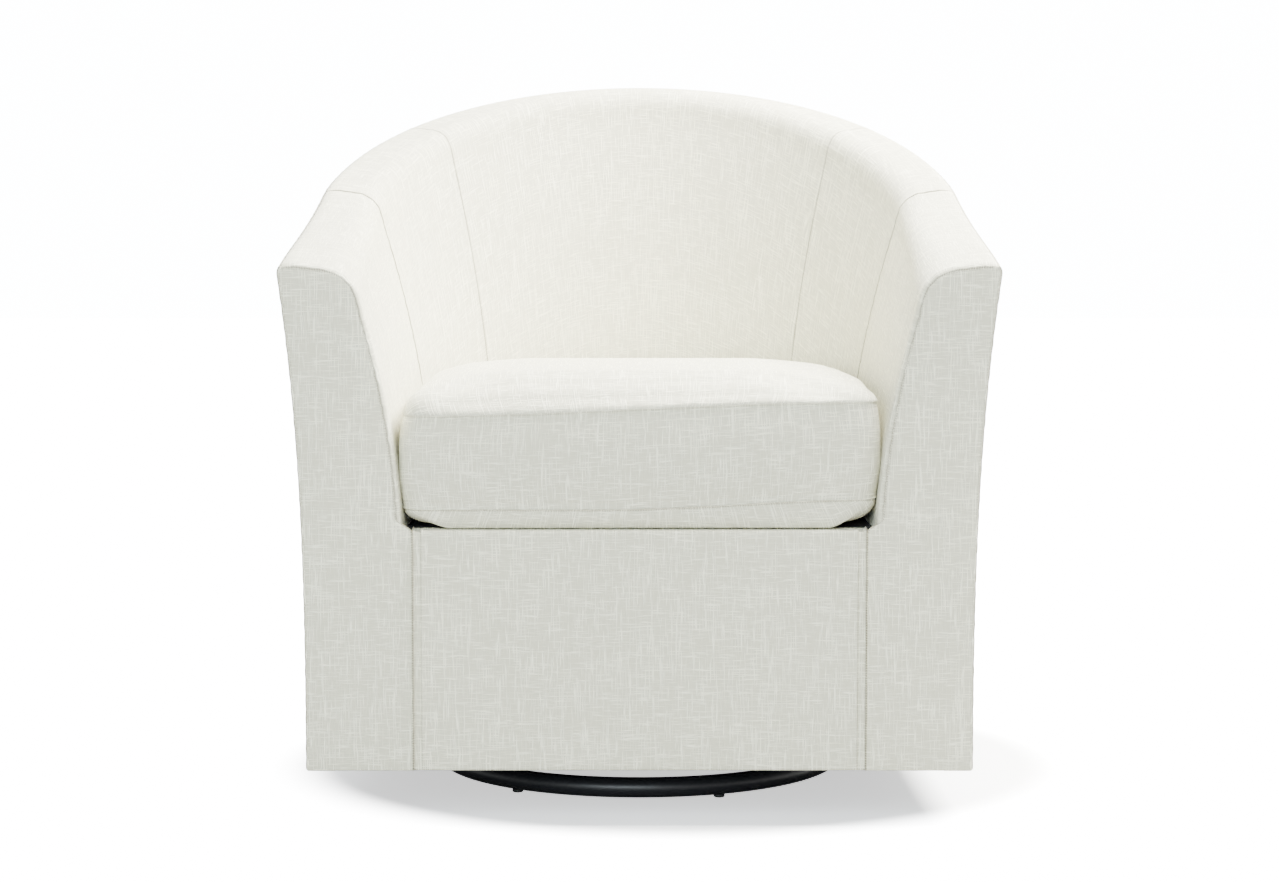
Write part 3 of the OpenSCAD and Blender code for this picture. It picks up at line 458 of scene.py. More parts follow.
def linen(name, dark, light, shadow_and_thread_colour):
    """Off-white cloth woven of slubby yarn. Two crossed waves are the threads, and two stretched noises are
    the slubs, thick places of 10 to 40 mm in single threads both ways. They set colour and height. The
    noise's lattice is turned, so that slubs don't end in rows. Beside a seam the cloth is darker: painted
    shade of the seam's groove, strongest in dashes where the stitches lie."""
    threads = (("X", 0.00125, (960, 40, 1)), ("Y", 0.00115, (56, 960, 1)))
    slub_turn, slub_from, slub_full = 0.55, 0.54, 0.74
    wander_by = 0.0016
    seam_full, seam_clear, stitch_len = 0.0003, 0.0015, 0.0026
    mat = new_finish(name, light, 0.88, Sheen_Weight=0.2, Sheen_Roughness=0.55, Specular_IOR_Level=0.25)
    place = node(mat, "TexCoord").outputs["UV"]
    wander = node(mat, "TexNoise", Vector=place, Scale=55.0, Detail=2.0).outputs["Color"]
    bent = calc(mat, "MULTIPLY_ADD", wander, (wander_by, wander_by, 0), place, kind="VectorMath")
    waves, slubs = [], []
    for direction, pitch, stretch in threads:
        wave = node(mat, "TexWave", Vector=bent, bands_direction=direction, Scale=2 * math.pi / 20 / pitch)
        waves.append(wave.outputs["Fac"])
        long = node(mat, "Mapping", Vector=bent, Location=(0, 0, 0.4), Rotation=(0, 0, slub_turn),
                    Scale=stretch)
        thick = node(mat, "TexNoise", Vector=long.outputs[0], Scale=1.0, Detail=1.0, Roughness=0.5)
        band = node(mat, "MapRange", Value=thick.outputs["Fac"], From_Min=slub_from, From_Max=slub_full)
        slubs.append(band.outputs[0])
    weave = calc(mat, "ADD", *waves)
    slub = calc(mat, "MULTIPLY_ADD", slubs[1], 0.7, slubs[0])
    raised = calc(mat, "MULTIPLY_ADD", weave, 0.35, slub)
    bump = node(mat, "Bump", Height=raised, Strength=0.8, Distance=0.0005)
    cloud = node(mat, "TexNoise", Vector=place, Scale=11.0, Detail=3.0).outputs["Fac"]
    tone = calc(mat, "MULTIPLY_ADD", weave, 0.15, calc(mat, "MULTIPLY_ADD", slub, 1.35, -0.005))
    shade_range(mat, calc(mat, "MULTIPLY_ADD", cloud, 0.1, tone), dark, light)
    way, stitch = (node(mat, "Attribute", attribute_name=key).outputs["Fac"]
                   for key in ("seam_way", "stitch_way"))
    # Painted shade of each seam's groove: the colour runs towards the seam colour within seam_clear of the
    # seam, strongest in dashes where the stitches lie.
    near = node(mat, "MapRange", interpolation_type="SMOOTHSTEP", Value=way, From_Min=seam_full,
                From_Max=seam_clear, To_Min=1.0, To_Max=0.0)
    beat = calc(mat, "SINE", calc(mat, "MULTIPLY_ADD", stitch, 2 * math.pi / stitch_len, 0.0))
    dash = node(mat, "MapRange", Value=beat, From_Min=-0.6, From_Max=0.6, To_Min=0.4, To_Max=1.0)
    plain = mat.node_tree.nodes["Principled BSDF"].inputs["Base Color"].links[0].from_socket
    blend = node(mat, "Mix", data_type="RGBA", Factor=calc(mat, "MULTIPLY", near.outputs[0], dash.outputs[0]),
                 A=plain, B=(*shadow_and_thread_colour, 1))
    dress(mat, Base_Color=blend.outputs["Result"], Normal=bump.outputs[0])
    return mat


cover = linen("linen_look_cloth", cloth_dark, cloth_light, seam_shadow_and_thread)


def inside_panel(name, start, end, r_start, r_end, count, proud):
    """A panel of the inside from start to end along the wall, turned in along its seams and gathered a
    little beside them. It stands proud at its start and its end by the given depths, which die away from the
    seam and below the rim. Its back lies inside_t deep: cloth and the foam right under it."""
    s, side_deep = steps_to_seams(start, end, count, r_start, r_end)
    section = over_rim(s[:, None])
    face = wall_place(s[:, None], section[..., 0], section[..., 1])
    down = lengths(face, 1)
    from_side = np.minimum(s - start, end - s)[:, None]
    deep = np.maximum(side_deep[:, None], turned_in(down))
    deep = deep - puckers(down, from_side, *inside_gathers) - puckers(s[:, None], down, *rim_gathers)
    lift = proud[0] * np.exp((start - s) / seam_lift_reach) + proud[1] * np.exp((s - end) / seam_lift_reach)
    deep = deep - lift[:, None] * np.clip(down / seam_lift_from, 0, 1)
    normal = outward(face)
    uv = np.stack([s[:, None] + 0 * down, -down], -1)
    return panel(name, face - deep[..., None] * normal, face - inside_t * normal, uv, (1, 1, 1, 0), cover)


for name, start, end, r_start, r_end, count, proud, nodes in [
        ("inside_arm_left", front_face, arm_len, front_seam_r, seam_r, 84, (0, 0),
         ["inside_arm_cover_left", "arm_foam_left"]),
        ("inside_wing_left", arm_len, wing_end, seam_r, seam_r, 60, (seam_lift, 0),
         ["inside_wing_cover_left", "wing_foam_left"]),
        ("inside_wing_right", whole_len - wing_end, whole_len - arm_len, seam_r, seam_r, 60, (0, seam_lift),
         ["inside_wing_cover_right", "wing_foam_right"]),
        ("inside_arm_right", whole_len - arm_len, whole_len - front_face, seam_r, front_seam_r, 84, (0, 0),
         ["inside_arm_cover_right", "arm_foam_right"]),
        ("inside_back", wing_end, whole_len - wing_end, seam_r, seam_r, 130, (0, 0),
         ["inside_back_cover", "back_foam"])]:
    piece = inside_panel(name, start, end, r_start, r_end, count, proud)
    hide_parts(*nodes)

# Outside panels: three panels of the same cloth over fibre padding, two sides and a back. Each starts as a
# hem turned in under the base board, goes up the flared wall and ends at the seam on the rim's outer corner.
hem_w, hem_r, hem_t = 0.030, 0.003, 0.0018
outside_t = 0.0055
edge_r = 0.0015
outside_gathers, corner_gathers = (0.0002, 0.009, 0.016), (0.0002, 0.008, 0.012)


def outside_section(s, deep, hem_deep):
    """The section (n, z) from the hem's inner edge round the fold at the foot, up the outer face and half
    round the outer corner, deep inside the cloth's face, and hem_deep above its underside."""
    h = rim_at(s)
    fold = np.radians(np.linspace(0, 90, 7))
    c = np.radians(np.linspace(0, 45, 7))[1:]
    low = skirt_z + hem_deep
    z = mix(low + hem_r, h - outer_r, np.linspace(0, 1, 100)[1:])
    r = outer_r - deep
    hem = np.linspace(hem_w, deep + hem_r, 8)[:-1] + 0 * h
    n = np.concatenate([hem, deep + hem_r * (1 - np.sin(fold)) + 0 * h, out_n(s, z) + deep,
                        out_n(s, h) + outer_r - r * np.cos(c)], 1)
    height = np.concatenate([low + 0 * hem, low + hem_r * (1 - np.cos(fold)) + 0 * h, z,
                             h - outer_r + r * np.sin(c)], 1)
    return np.stack([n, height], -1)


def outside_panel(name, start, end, r_start, r_end, count):
    """A panel of the outside from start to end along the wall, turned in at its sides and at the rim."""
    s, side_deep = steps_to_seams(start, end, count, r_start, r_end)
    s = s[:, None]
    outer = outside_section(s, 0, 0)
    inner = outside_section(s, outside_t, hem_t)
    face = wall_place(s, outer[..., 0], outer[..., 1])
    back = wall_place(s, inner[..., 0], inner[..., 1])
    up = lengths(face, 1)
    to_rim = up[:, -1:] - up
    deep = np.maximum(side_deep[:, None], turned_in(to_rim))
    from_side = np.minimum(s - start, end - s)
    deep = deep - puckers(up, from_side, *outside_gathers) - puckers(s, to_rim, *corner_gathers)
    deep = deep * np.clip((outer[..., 1] - skirt_z) / hem_r, 0, 1)
    return panel(name, face - deep[..., None] * outward(face), back, np.stack([s + 0 * up, up], -1),
                 (1, 1, 0, 1), cover)


for name, start, end, r_start, r_end, count, nodes in [
        ("outside_left", front_face, wing_end, edge_r, seam_r, 120, ["outside_cover_left", "outer_padding"]),
        ("outside_back", wing_end, whole_len - wing_end, seam_r, seam_r, 120,
         ["outside_back_cover", "outer_padding"]),
        ("outside_right", whole_len - wing_end, whole_len - front_face, seam_r, edge_r, 120,
         ["outside_cover_right", "outer_padding"])]:
    piece = outside_panel(name, start, end, r_start, r_end, count)
    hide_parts(*nodes)

# Arm fronts: a flat panel of cloth over thin padding on each arm front. Its seam lies on the outer edge, and
# 5 mm inside the edge over the rim and down the inside, where the inside panel wraps round onto the front.
front_y, front_t, front_crown = -0.351, 0.009, 0.0016
front_gathers = (0.00012, 0.008, 0.014)
arm_foot_w, arm_front_tall = 0.111, 0.52
bend_low, bend_high = 0.3035, 0.3180
edge_ease = 0.012
hem_tuck = 0.0003
half_roll = 23      # the point of over_rim's section half way round the roll


def way_along(curve):
    """Way along a curve from its first point to each one."""
    return np.concatenate([[0], np.cumsum(np.linalg.norm(np.diff(curve, axis=0), axis=1))])


def along(curve, shares):
    """Points at the given shares of the way along a curve."""
    way = way_along(curve)
    at = shares * way[-1]
    return np.stack([np.interp(at, way, curve[:, k]) for k in range(2)], -1)


def arm_front_grid():
    """A patch filled between four edges: foot, outer side, rim and inner side. Each point is the mean of the
    pairs of edges at its place, less the mean of the corners. The inner side swings out to the rail at the
    deck. Gives (n, z), how deep each point is turned in, and the shares across and up."""
    section = over_rim(np.array([[front_face]]))[0]
    step = np.gradient(section, axis=0)
    out = np.stack([-step[:, 1], step[:, 0]], -1) / np.linalg.norm(step, axis=1)[:, None]
    edge = section - out * mix(edge_r, front_seam_r, eased(way_along(section) / edge_ease))[:, None]
    inner = edge[half_roll:][::-1]
    swing = eased((bend_high - inner[:, 1]) / (bend_high - bend_low))
    inner = np.stack([mix(inner[:, 0], arm_foot_w, swing), inner[:, 1]], -1)
    inner = inner[inner[:, 1] > bend_low]
    inner = np.concatenate([[[arm_foot_w, z] for z in np.linspace(skirt_z, bend_low, 40)], inner])
    h = rim_at(front_face)
    z = np.linspace(skirt_z, h - outer_r, 80)
    c = np.radians(np.linspace(0, 45, 6))[1:]
    r = outer_r - edge_r
    corner = [out_n(front_face, h) + outer_r - r * np.cos(c), h - outer_r + r * np.sin(c)]
    outer = np.concatenate([np.stack([out_n(front_face, z) + edge_r, z], -1), np.stack(corner, -1)])
    outer[-1] = edge[0]
    u, deep_u = steps_to_seams(0, arm_foot_w, 34, edge_r, edge_r)
    v, deep_v = steps_to_seams(0, arm_front_tall, 120, edge_r, edge_r)
    u, v = u / u[-1], v / v[-1]
    foot = along(np.array([outer[0], inner[0]]), u)
    rim = along(edge[:half_roll + 1], u)
    left, right = along(outer, v), along(inner, v)
    U, V = u[None, :, None], v[:, None, None]
    grid = (1 - V) * foot + V * rim + (1 - U) * left[:, None] + U * right[:, None] - (
        (1 - U) * (1 - V) * foot[0] + U * (1 - V) * foot[-1] + (1 - U) * V * rim[0] + U * V * rim[-1])
    return grid, np.maximum(deep_u[None, :], deep_v[:, None]), U[..., 0], V[..., 0]


def arm_front(name, side):
    """The panel on one arm front, slightly crowned in the middle, with a hem turned in under the base board.
    At the corner the hem lies just above the side panel's hem."""
    grid, deep, u, v = arm_front_grid()
    y = front_y + deep - front_crown * (1 - (2 * u - 1) ** 4) * np.clip(np.sin(math.pi * v), 0, 1) ** 0.5
    y = y - puckers(grid[..., 1], np.minimum(u, 1 - u) * arm_foot_w, *front_gathers)
    hem = np.linspace(hem_w, hem_r, 8)[:, None] + 0 * u[:1]
    x = side * (front_half - np.concatenate([grid[:1, :, 0] + 0 * hem, grid[..., 0]]))
    z = np.concatenate([skirt_z + hem_tuck + 0 * hem, grid[..., 1]])
    up = np.concatenate([skirt_z - hem, grid[..., 1]])
    face = np.stack([x, np.concatenate([front_y + hem, y]), z], -1)
    back = np.stack([x, np.concatenate([front_y + hem, front_y + front_t + 0 * y]),
                     np.maximum(z, skirt_z + hem_t)], -1)
    # The arm fronts' seams get the darkest painted shade of the seams, with stitches.
    return panel(name, face, back, np.stack([x, up], -1), (0, 1, 1, 1), cover, start=0.0, pace=0.42)


for name, side in (("left", -1), ("right", 1)):
    piece = arm_front(f"arm_front_{name}", side)
    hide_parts(f"arm_front_cover_{name}", f"front_pad_{name}")

# Front rail: a panel of cloth over padding between the arm fronts. A narrow strip along each side is folded
# over the seam and stands a little proud. The top turns back as a pale lip, and the foot under as a hem.
rail_half = 0.232
deck_z = 0.306
rail_t = 0.008
lip_d, lip_t, lip_r = 0.030, 0.0018, 0.003
rail_gathers = (0.00015, 0.007, 0.017)
# How deep the rail lies, in millimetres, at each distance from its side seam: the seam, the fold, the strip
# and its inner edge, where a fainter line of painted shadow is drawn
fold_at = np.array([0, 0.2, 0.5, 1.1, 2.2, 3.6, 4.4, 5.2, 6.4, 7.4, 8.0, 8.5, 9.2, 10.5, 13]) / 1000
fold_deep = np.array([3.0, 1.7, 0.9, 0.1, -1.1, -1.6, -1.6, -1.5, -1.5, -1.6, -1.1, 0.4, 0.9, 0.4, 0]) / 1000
fold_edge, fold_shadow_faint, fold_shadow_pace = 0.0087, 0.0018, 3.2
fold_far, fold_gather = 0.016, 0.009
fold_ends = 0.012       # the strip dies away over this width of the lip
crown_tall = 0.25


def rail_path():
    """The rail's section (y, z) from the hem's inner edge round its fold, up the front and back over the
    top."""
    fold = np.radians(np.linspace(0, 90, 7))
    hem = np.linspace(front_y + hem_w, front_y + hem_r, 8)[:-1]
    up = np.linspace(skirt_z + hem_r, deck_z - lip_r, 60)[1:-1]
    lip = np.linspace(front_y + lip_r, front_y + lip_d, 8)[1:]
    y = np.concatenate([hem, front_y + hem_r * (1 - np.sin(fold)), front_y + 0 * up,
                        front_y + lip_r * (1 - np.cos(fold)), lip])
    z = np.concatenate([skirt_z + 0 * hem, skirt_z + hem_r * (1 - np.cos(fold)), up,
                        deck_z - lip_r * (1 - np.sin(fold)), deck_z + 0 * lip])
    return np.stack([y, z], -1)


def rail():
    """The path carried across the chair, and moved in by the fold's depth beside each seam. In the middle it
    is crowned by 1 - x to the power 4, times a sine up the front. Its back is the face pressed into the box
    of the padding."""
    path = rail_path()
    near = np.concatenate([fold_at, np.linspace(fold_far, rail_half, 50)])
    x = np.concatenate([-rail_half + near, rail_half - near[-2::-1]])[:, None]
    to_seam = rail_half - np.abs(x)
    y, z = path[None, :, 0] + 0 * x, path[None, :, 1] + 0 * x
    face = np.stack([x + 0 * y, y, z], -1)
    deep = np.interp(to_seam, fold_at, fold_deep) * np.clip((front_y + lip_d - y) / fold_ends, 0, 1)
    deep = deep * np.clip((z - skirt_z) / hem_r, 0, 1)
    rise = np.clip(np.sin(math.pi * (z - skirt_z) / crown_tall), 0, 1)
    crown = front_crown * (1 - (x / rail_half) ** 4) * rise
    deep = deep - crown - puckers(z, np.abs(to_seam - fold_gather), *rail_gathers)
    up = lengths(face, 1)
    back = np.stack([x + 0 * y, np.maximum(y, front_y + rail_t),
                     np.clip(z, skirt_z + hem_t, deck_z - lip_t)], -1)
    # A thin line of painted shadow along the strip's inner edge, besides the painted shade beside the seams.
    fold_shadow_way = fold_shadow_pace * np.abs(to_seam - fold_edge) + fold_shadow_faint + 0 * y
    return panel("front_rail", face - deep[..., None] * outward(face), back, np.stack([x + 0 * up, up], -1),
                 (1, 1, 0, 0), cover, start=0.0002, pace=0.3, fold_shadow_way=fold_shadow_way)


front_rail = rail()
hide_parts("rail_cover", "rail_pad")

# Seat deck: a fibre pad on the springs, and a black lining cloth stretched over it and stapled round the
# hoop. It shows only at the cushion's lower front corners, behind the pale lip.
deck_tuck, deck_front = 0.0005, -0.3207
pad_gap, pad_front = 0.002, -0.3221
pad_low, pad_top, pad_r = 0.2927, 0.3037, 0.004
pad_edge_z = 0.280
deck_middle = np.array([0.0, -0.09])
lining_t, lining_thread = 0.0012, 0.0007


def black_weave(name):
    """Thin black lining: two crossed waves are its threads, and noise its faint cloudy wear."""
    mat = grained(name, (0.011, 0.011, 0.012), (0.022, 0.022, 0.023), 0.02, (0.8, 0.92), 0.0001)
    place = node(mat, "TexCoord").outputs["Object"]
    threads = [node(mat, "TexWave", Vector=place, bands_direction=direction,
                    Scale=2 * math.pi / 20 / lining_thread).outputs["Fac"] for direction in "XY"]
    bump = node(mat, "Bump", Height=calc(mat, "ADD", *threads), Strength=0.4, Distance=0.0002)
    dress(mat, Normal=bump.outputs[0])
    return mat


def wall_outline(n_of, front, count=360):
    """A loop of (x, y): along the wall at n_of(s) inwards, from the front on the left round to the front on
    the right, and straight back across the front."""
    s = np.linspace(-0.01, whole_len + 0.01, 4 * count)
    wall = wall_place(s, n_of(s), 0.0)[:, :2]
    wall = wall[wall[:, 1] > front]
    loop = np.concatenate([wall, np.stack([np.linspace(wall[-1, 0], wall[0, 0], count // 3)[:-1],
                                           np.full(count // 3 - 1, front)], -1)])
    corners = np.concatenate([loop, loop[:1]])
    return along(corners, np.linspace(0, 1, count, endpoint=False))


def at_height(flat, z):
    """Points of a plan, (x, y), lifted to the height z."""
    return np.concatenate([flat, z + 0 * flat[..., :1]], -1)


def slab(name, loop, middle, low, high, material, body="chair", r=0.0006, shares=12):
    """A flat sheet or pad inside a loop, from low to high: rings from 0.04 of the loop's size outwards, and a
    turn of radius r round its edge."""
    way = np.linspace(0.04, 1, shares)
    arm = np.linalg.norm(loop - middle, axis=1).mean()
    turn = np.radians(np.linspace(90, -90, 7))
    share = np.concatenate([way[:-1], 1 - r / arm * (1 - np.cos(turn)), way[-2::-1]])
    height = np.concatenate([np.full(shares - 1, high), mix(low, high, (1 + np.sin(turn)) / 2),
                             np.full(shares - 1, low)])
    flat = middle + share[:, None, None] * (loop - middle)
    return rings_mesh(name, at_height(flat, height[:, None, None]), material, body)


felt = grained("fibre_felt", (0.62, 0.61, 0.57), (0.80, 0.79, 0.75), 0.003, (0.85, 0.95), 0.0006)
pad_loop = wall_outline(lambda s: in_n(s, pad_edge_z) + pad_gap, pad_front)
deck_pad = slab("deck_pad_fibre", pad_loop, deck_middle, pad_low, pad_top, felt, r=pad_r)
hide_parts("deck_pad")

black_cloth = black_weave("black_lining")
deck_loop = wall_outline(lambda s: in_n(s, deck_z) + deck_tuck, deck_front)
deck_cloth = slab("deck_cloth", deck_loop, deck_middle, deck_z - lining_t, deck_z, black_cloth)
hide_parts("deck_cover")

# Dust cover: thin black lining stapled under the base board and the hems, with a round hole for the swivel.
dust_z, dust_t = 0.0567, 0.0008
dust_in, dust_hole_r = 0.015, 0.1333
dust_loop = wall_outline(lambda s: dust_in + 0 * s, front_y + dust_in)
hole = dust_loop / np.linalg.norm(dust_loop, axis=1)[:, None] * dust_hole_r
dust_flat = mix(hole, dust_loop, np.linspace(0, 1, 10)[:, None, None])
dust_rings = np.concatenate([at_height(dust_flat, dust_z + dust_t), at_height(dust_flat, dust_z)[::-1]])
dust = rings_mesh("dust_cloth", dust_rings, black_cloth, "chair", join_rows=True)
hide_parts("dust_cover")

# Seat cushion: a loose boxed cushion of foam in a cloth cover, which lifts out. A top and a bottom panel are
# sewn to an upright band, with a seam above and below it. The swell comes from a cloth simulation.
cushion_low, seam_low, seam_high, cushion_top = 0.3063, 0.3263, 0.4313, 0.4643
belly_h, band_h, crown_h = seam_low - cushion_low, seam_high - seam_low, cushion_top - seam_high
cushion_front, corner_r = -0.345, 0.024
chair_d, middle_share = 0.702, 0.372
cushion_middle = np.array([0.0, front_y + middle_share * chair_d])
gap_side, gap_back = 0.0018, 0.011
reach_in = 0.23
near_seam, edge_power = 0.0085, 12
band_at, band_share = (0, 0.3, 0.7, 1), (1, 1.018, 1.023, 1.02)
side_height = [0.3063, 0.3263, 0.3600, 0.4000, 0.4313]
side_share = [1.010, 1.010, 1.010, 1.004, 0.990]
# The underside is pressed onto the rail, and stands off it by a gap behind its rolled edge
roll_share, roll_power = 0.032, 1.7
press_from, press_over, press_side_over = -0.30, 0.03, 0.035
under_gap, gap_from, gap_over = 0.0023, 0.86, 0.08
# The crown is fuller at its sides, and falls to the back and a little at each side
full_x, full_x_over, full_y, full_y_over, full_power = 0.17, 0.05, -0.30, 0.12, 0.6
sag = 0.22
arch, arch_from, arch_over = 0.0072, 0.115, 0.10
# The cover sits askew in front
high_pull, high_half, high_drop = 0.007, 0.23, 0.0005
low_pull, low_from, low_over, low_rise = 0.0105, -0.04, 0.28, 0.001
pull_end, pull_over = 0.02, 0.25
# The grid, the cloth that is blown up on a coarser grid, and how much of its swell is kept where
around_n, row_step, seam_step = 400, 0.0032, 0.0006
coarse_n, coarse_step, coarse_seam_step = 132, 0.0125, 0.0065
frames, free_rows = 20, 4     # the rows of the underside beside its seam swell too
blown = dict(quality=6, mass=0.3, tension_stiffness=18, compression_stiffness=10, shear_stiffness=6,
             bending_stiffness=0.4, use_pressure=True, uniform_pressure_force=4, vertex_group_mass="held")
swell_cap = 0.006
swell_end, swell_over = 0.16, 0.30
inner_swell, inner_share, inner_over = 0.1, 0.62, 0.3
side_swell, side_swell_x, side_swell_over = 0.2, 0.245, 0.09


def cushion_plan(count):
    """The cushion's outline seen from above: beside the wall at seat height, round two front corners and
    straight across the front, as a loop of evenly spaced (x, y)."""
    s = np.linspace(0, whole_len, 1200)
    n = in_n(s, seat_z) + mix(gap_side, gap_back, back_share(s))
    wall = wall_place(s, n, 0.0)[:, :2]
    wall = wall[wall[:, 1] > cushion_front + corner_r]
    a = np.radians(np.linspace(0, -90, 16))
    x, y = wall[-1, 0] - corner_r, cushion_front + corner_r
    right = np.stack([x + corner_r * np.cos(a), y + corner_r * np.sin(a)], -1)
    left = right[::-1] * [-1, 1]
    front = np.stack([np.linspace(x, -x, 60)[1:-1], np.full(58, cushion_front)], -1)
    loop = along(np.concatenate([wall, right[1:], front, left, wall[:1]]), np.linspace(0, 1, count + 1))[:-1]
    for _ in range(4):
        loop = (np.roll(loop, 1, 0) + 2 * loop + np.roll(loop, -1, 0)) / 4
    return loop


def profile_of(step, fine_step):
    """The cushion's levels from the middle of its underside to that of its crown: each one's share of the
    plan and its height, and the rows of both seams. They lie about step metres apart, and fine_step apart
    beside the seams. Belly and crown are their height times the root of 1 - x to the power edge_power, of
    the share x, and the band bulges evenly."""
    near = np.arange(0.0, near_seam, fine_step)
    near_low = near_seam * np.linspace(0, 1, 2 * len(near)) ** 2

    def shares(first):
        """Shares of the plan from 1 inwards: 1 - u + 0.4 u times e to the power -u / 0.09, where u is the way
        from the seam as a share of reach_in. They fall slowly at first, for the steep edge."""
        from_seam = np.concatenate([first, np.arange(first[-1] + step, reach_in * 0.97, step)]) / reach_in
        return np.clip(1 - from_seam + 0.4 * from_seam * np.exp(-from_seam / 0.09), 0.03, 1)

    under, over = shares(near_low), shares(near)
    belly = seam_low - belly_h * (1 - under ** edge_power) ** 0.5
    crown = seam_high + crown_h * (1 - over ** edge_power) ** 0.5
    t = np.concatenate([near, np.arange(near[-1] + step, band_h - near[-1] - step / 2, step),
                        band_h - near[::-1]]) / band_h
    band = np.interp(t, band_at, band_share)
    for _ in range(6):
        band[1:-1] = (band[:-2] + 2 * band[1:-1] + band[2:]) / 4
    share = np.concatenate([under[:0:-1], band, band_share[-1] * over[1:]])
    height = np.concatenate([belly[:0:-1], mix(seam_low, seam_high, t), crown[1:]])
    low_row, high_row = len(under) - 1, len(under) + len(t) - 2
    return share, height, low_row, high_row


def pressed_down(plan, share, height):
    """Each level's height round the plan. In front, between the arm fronts, the underside rolls over to its
    lowest level within roll_share of the plan, and from there inwards it is raised by the gap."""
    full = cushion_low + belly_h * (1 - np.clip((1 - share) / roll_share, 0, 1)) ** roll_power
    full = full + under_gap * eased((share - gap_from) / gap_over) * (share < 1 - roll_share)
    pressed = (eased((press_from - plan[:, 1]) / press_over)
               * eased((rail_half - np.abs(plan[:, 0])) / press_side_over))
    low = height[:, None] < seam_low
    return np.where(low, mix(height[:, None], full[:, None], pressed), height[:, None])


def crown_fall(x, y):
    """How far the crown sinks: by the square of the way behind the middle, and an eased step at each side."""
    behind = np.clip(y - cushion_middle[1], 0, None)
    return sag * behind ** 2 + arch * eased((np.abs(x) - arch_from) / arch_over)


def askew(x, height):
    """How far the cover is pulled up at each width and level: at the upper seam by a half wave of the sine,
    down at the left and up at the right, and at the lower seam by an eased step to the right."""
    high = high_pull * np.sin(np.clip(x / high_half, -1, 1) * math.pi / 2) - high_drop
    low = low_pull * eased((x - low_from) / low_over) + low_rise
    return mix(low, high, np.clip((height - seam_low) / band_h, 0, 1)[:, None])


def cushion_rings(plan, share, height):
    """The plan drawn in or out to each level's share about the cushion's middle, with the sides a little
    wider low down. Its heights are pressed down, fuller at the crown's sides, sunk, and pulled askew in
    front, where the crown's middle and the underside stay as they are."""
    wide = np.stack([share * np.interp(height, side_height, side_share), share], -1)
    flat = cushion_middle + wide[:, None] * (plan - cushion_middle)
    x, y = flat[..., 0], flat[..., 1]
    z = pressed_down(plan, share, height)
    over = np.clip((height - seam_high) / crown_h, 0, 1)[:, None]
    side = eased((np.abs(plan[:, 0]) - full_x) / full_x_over) * eased((plan[:, 1] - full_y) / full_y_over)
    z = z + crown_h * (over ** mix(1.0, full_power, side) - over)
    z = z - over * crown_fall(x, y)
    below = np.clip((z - cushion_low) / belly_h, 0, 1)
    z = z + askew(x, height) * below * (1 - over) * eased((pull_end - y) / pull_over)
    return np.concatenate([flat, z[..., None]], -1)


def swelled(rings, low_row, high_row):
    """How far each point moves when the closed cover is blown up as cloth. Both seams and the flat of the
    underside are held. The moves are smoothed twice round the cushion, and each is capped."""
    piece = rings_mesh("blown_cover", rings, cover, "cushion")
    rows, cols = rings.shape[:2]
    held = piece.vertex_groups.new(name="held")
    flat, ring = range(cols * max(low_row - free_rows, 1)), np.arange(cols)
    seams = np.concatenate([ring + low_row * cols, ring + high_row * cols])
    held.add([*flat, *seams.tolist(), rows * cols], 1.0, "REPLACE")
    cloth = piece.modifiers.new("cover", "CLOTH")
    for setting, value in blown.items():
        setattr(cloth.settings, setting, value)
    cloth.settings.effector_weights.gravity = 0
    cloth.point_cache.frame_start = 1
    cloth.point_cache.frame_end = frames
    for frame_no in range(1, frames + 1):
        bpy.context.scene.frame_set(frame_no)
    result = piece.evaluated_get(bpy.context.evaluated_depsgraph_get()).to_mesh()
    blown_up = np.empty(len(result.vertices) * 3, np.float32)
    result.vertices.foreach_get("co", blown_up)
    bpy.context.scene.frame_set(1)
    bpy.data.objects.remove(piece)
    move = blown_up.reshape(-1, 3)[:rows * cols].reshape(rings.shape) - rings
    for _ in range(2):
        move = (np.roll(move, 1, 1) + 2 * move + np.roll(move, -1, 1)) / 4
    size = np.linalg.norm(move, axis=-1, keepdims=True)
    return move * np.minimum(1, swell_cap / np.maximum(size, 1e-6))


def spread(move, rows_at, cols_at):
    """A coarse grid of moves read at finer rows and columns, blended between its points; columns close."""
    move = np.concatenate([move, move[:, :1]], 1)
    i = np.clip(rows_at.astype(int), 0, move.shape[0] - 2)
    k = np.clip(cols_at.astype(int), 0, move.shape[1] - 2)
    u = eased(rows_at - i)[:, None, None]
    v = eased(cols_at - k)[None, :, None]
    upper = move[i][:, k] * (1 - v) + move[i][:, k + 1] * v
    lower = move[i + 1][:, k] * (1 - v) + move[i + 1][:, k + 1] * v
    return upper * (1 - u) + lower * u


def way_over(share, height):
    """The way over the cloth from the first level to each one."""
    return np.concatenate([[0], np.cumsum(np.hypot(np.diff(share) * reach_in, np.diff(height)))])


share, height, low_row, high_row = profile_of(row_step, seam_step)
plan = cushion_plan(around_n)
rings = cushion_rings(plan, share, height)
c_share, c_height, c_low, c_high = profile_of(coarse_step, coarse_seam_step)
coarse = cushion_rings(cushion_plan(coarse_n), c_share, c_height)
move = swelled(coarse, c_low, c_high)
# Rows of the fine grid as places between rows of the coarse one: bottom, band and top each on its own way
way, c_way = way_over(share, height), way_over(c_share, c_height)
rows_at = np.interp(way, [0, way[low_row], way[high_row], way[-1]],
                    [0, c_way[c_low], c_way[c_high], c_way[-1]])
rows_at = np.interp(rows_at, c_way, np.arange(len(c_way)))
cols_at = np.arange(around_n) * coarse_n / around_n
kept = eased((swell_end - rings[..., 1]) / swell_over)
kept = kept * mix(inner_swell, 1.0, eased((share - inner_share) / inner_over))[:, None]
kept = kept * mix(side_swell, 1.0, eased((side_swell_x - np.abs(rings[..., 0])) / side_swell_over))
rings = rings + spread(move, rows_at, cols_at) * kept[..., None]

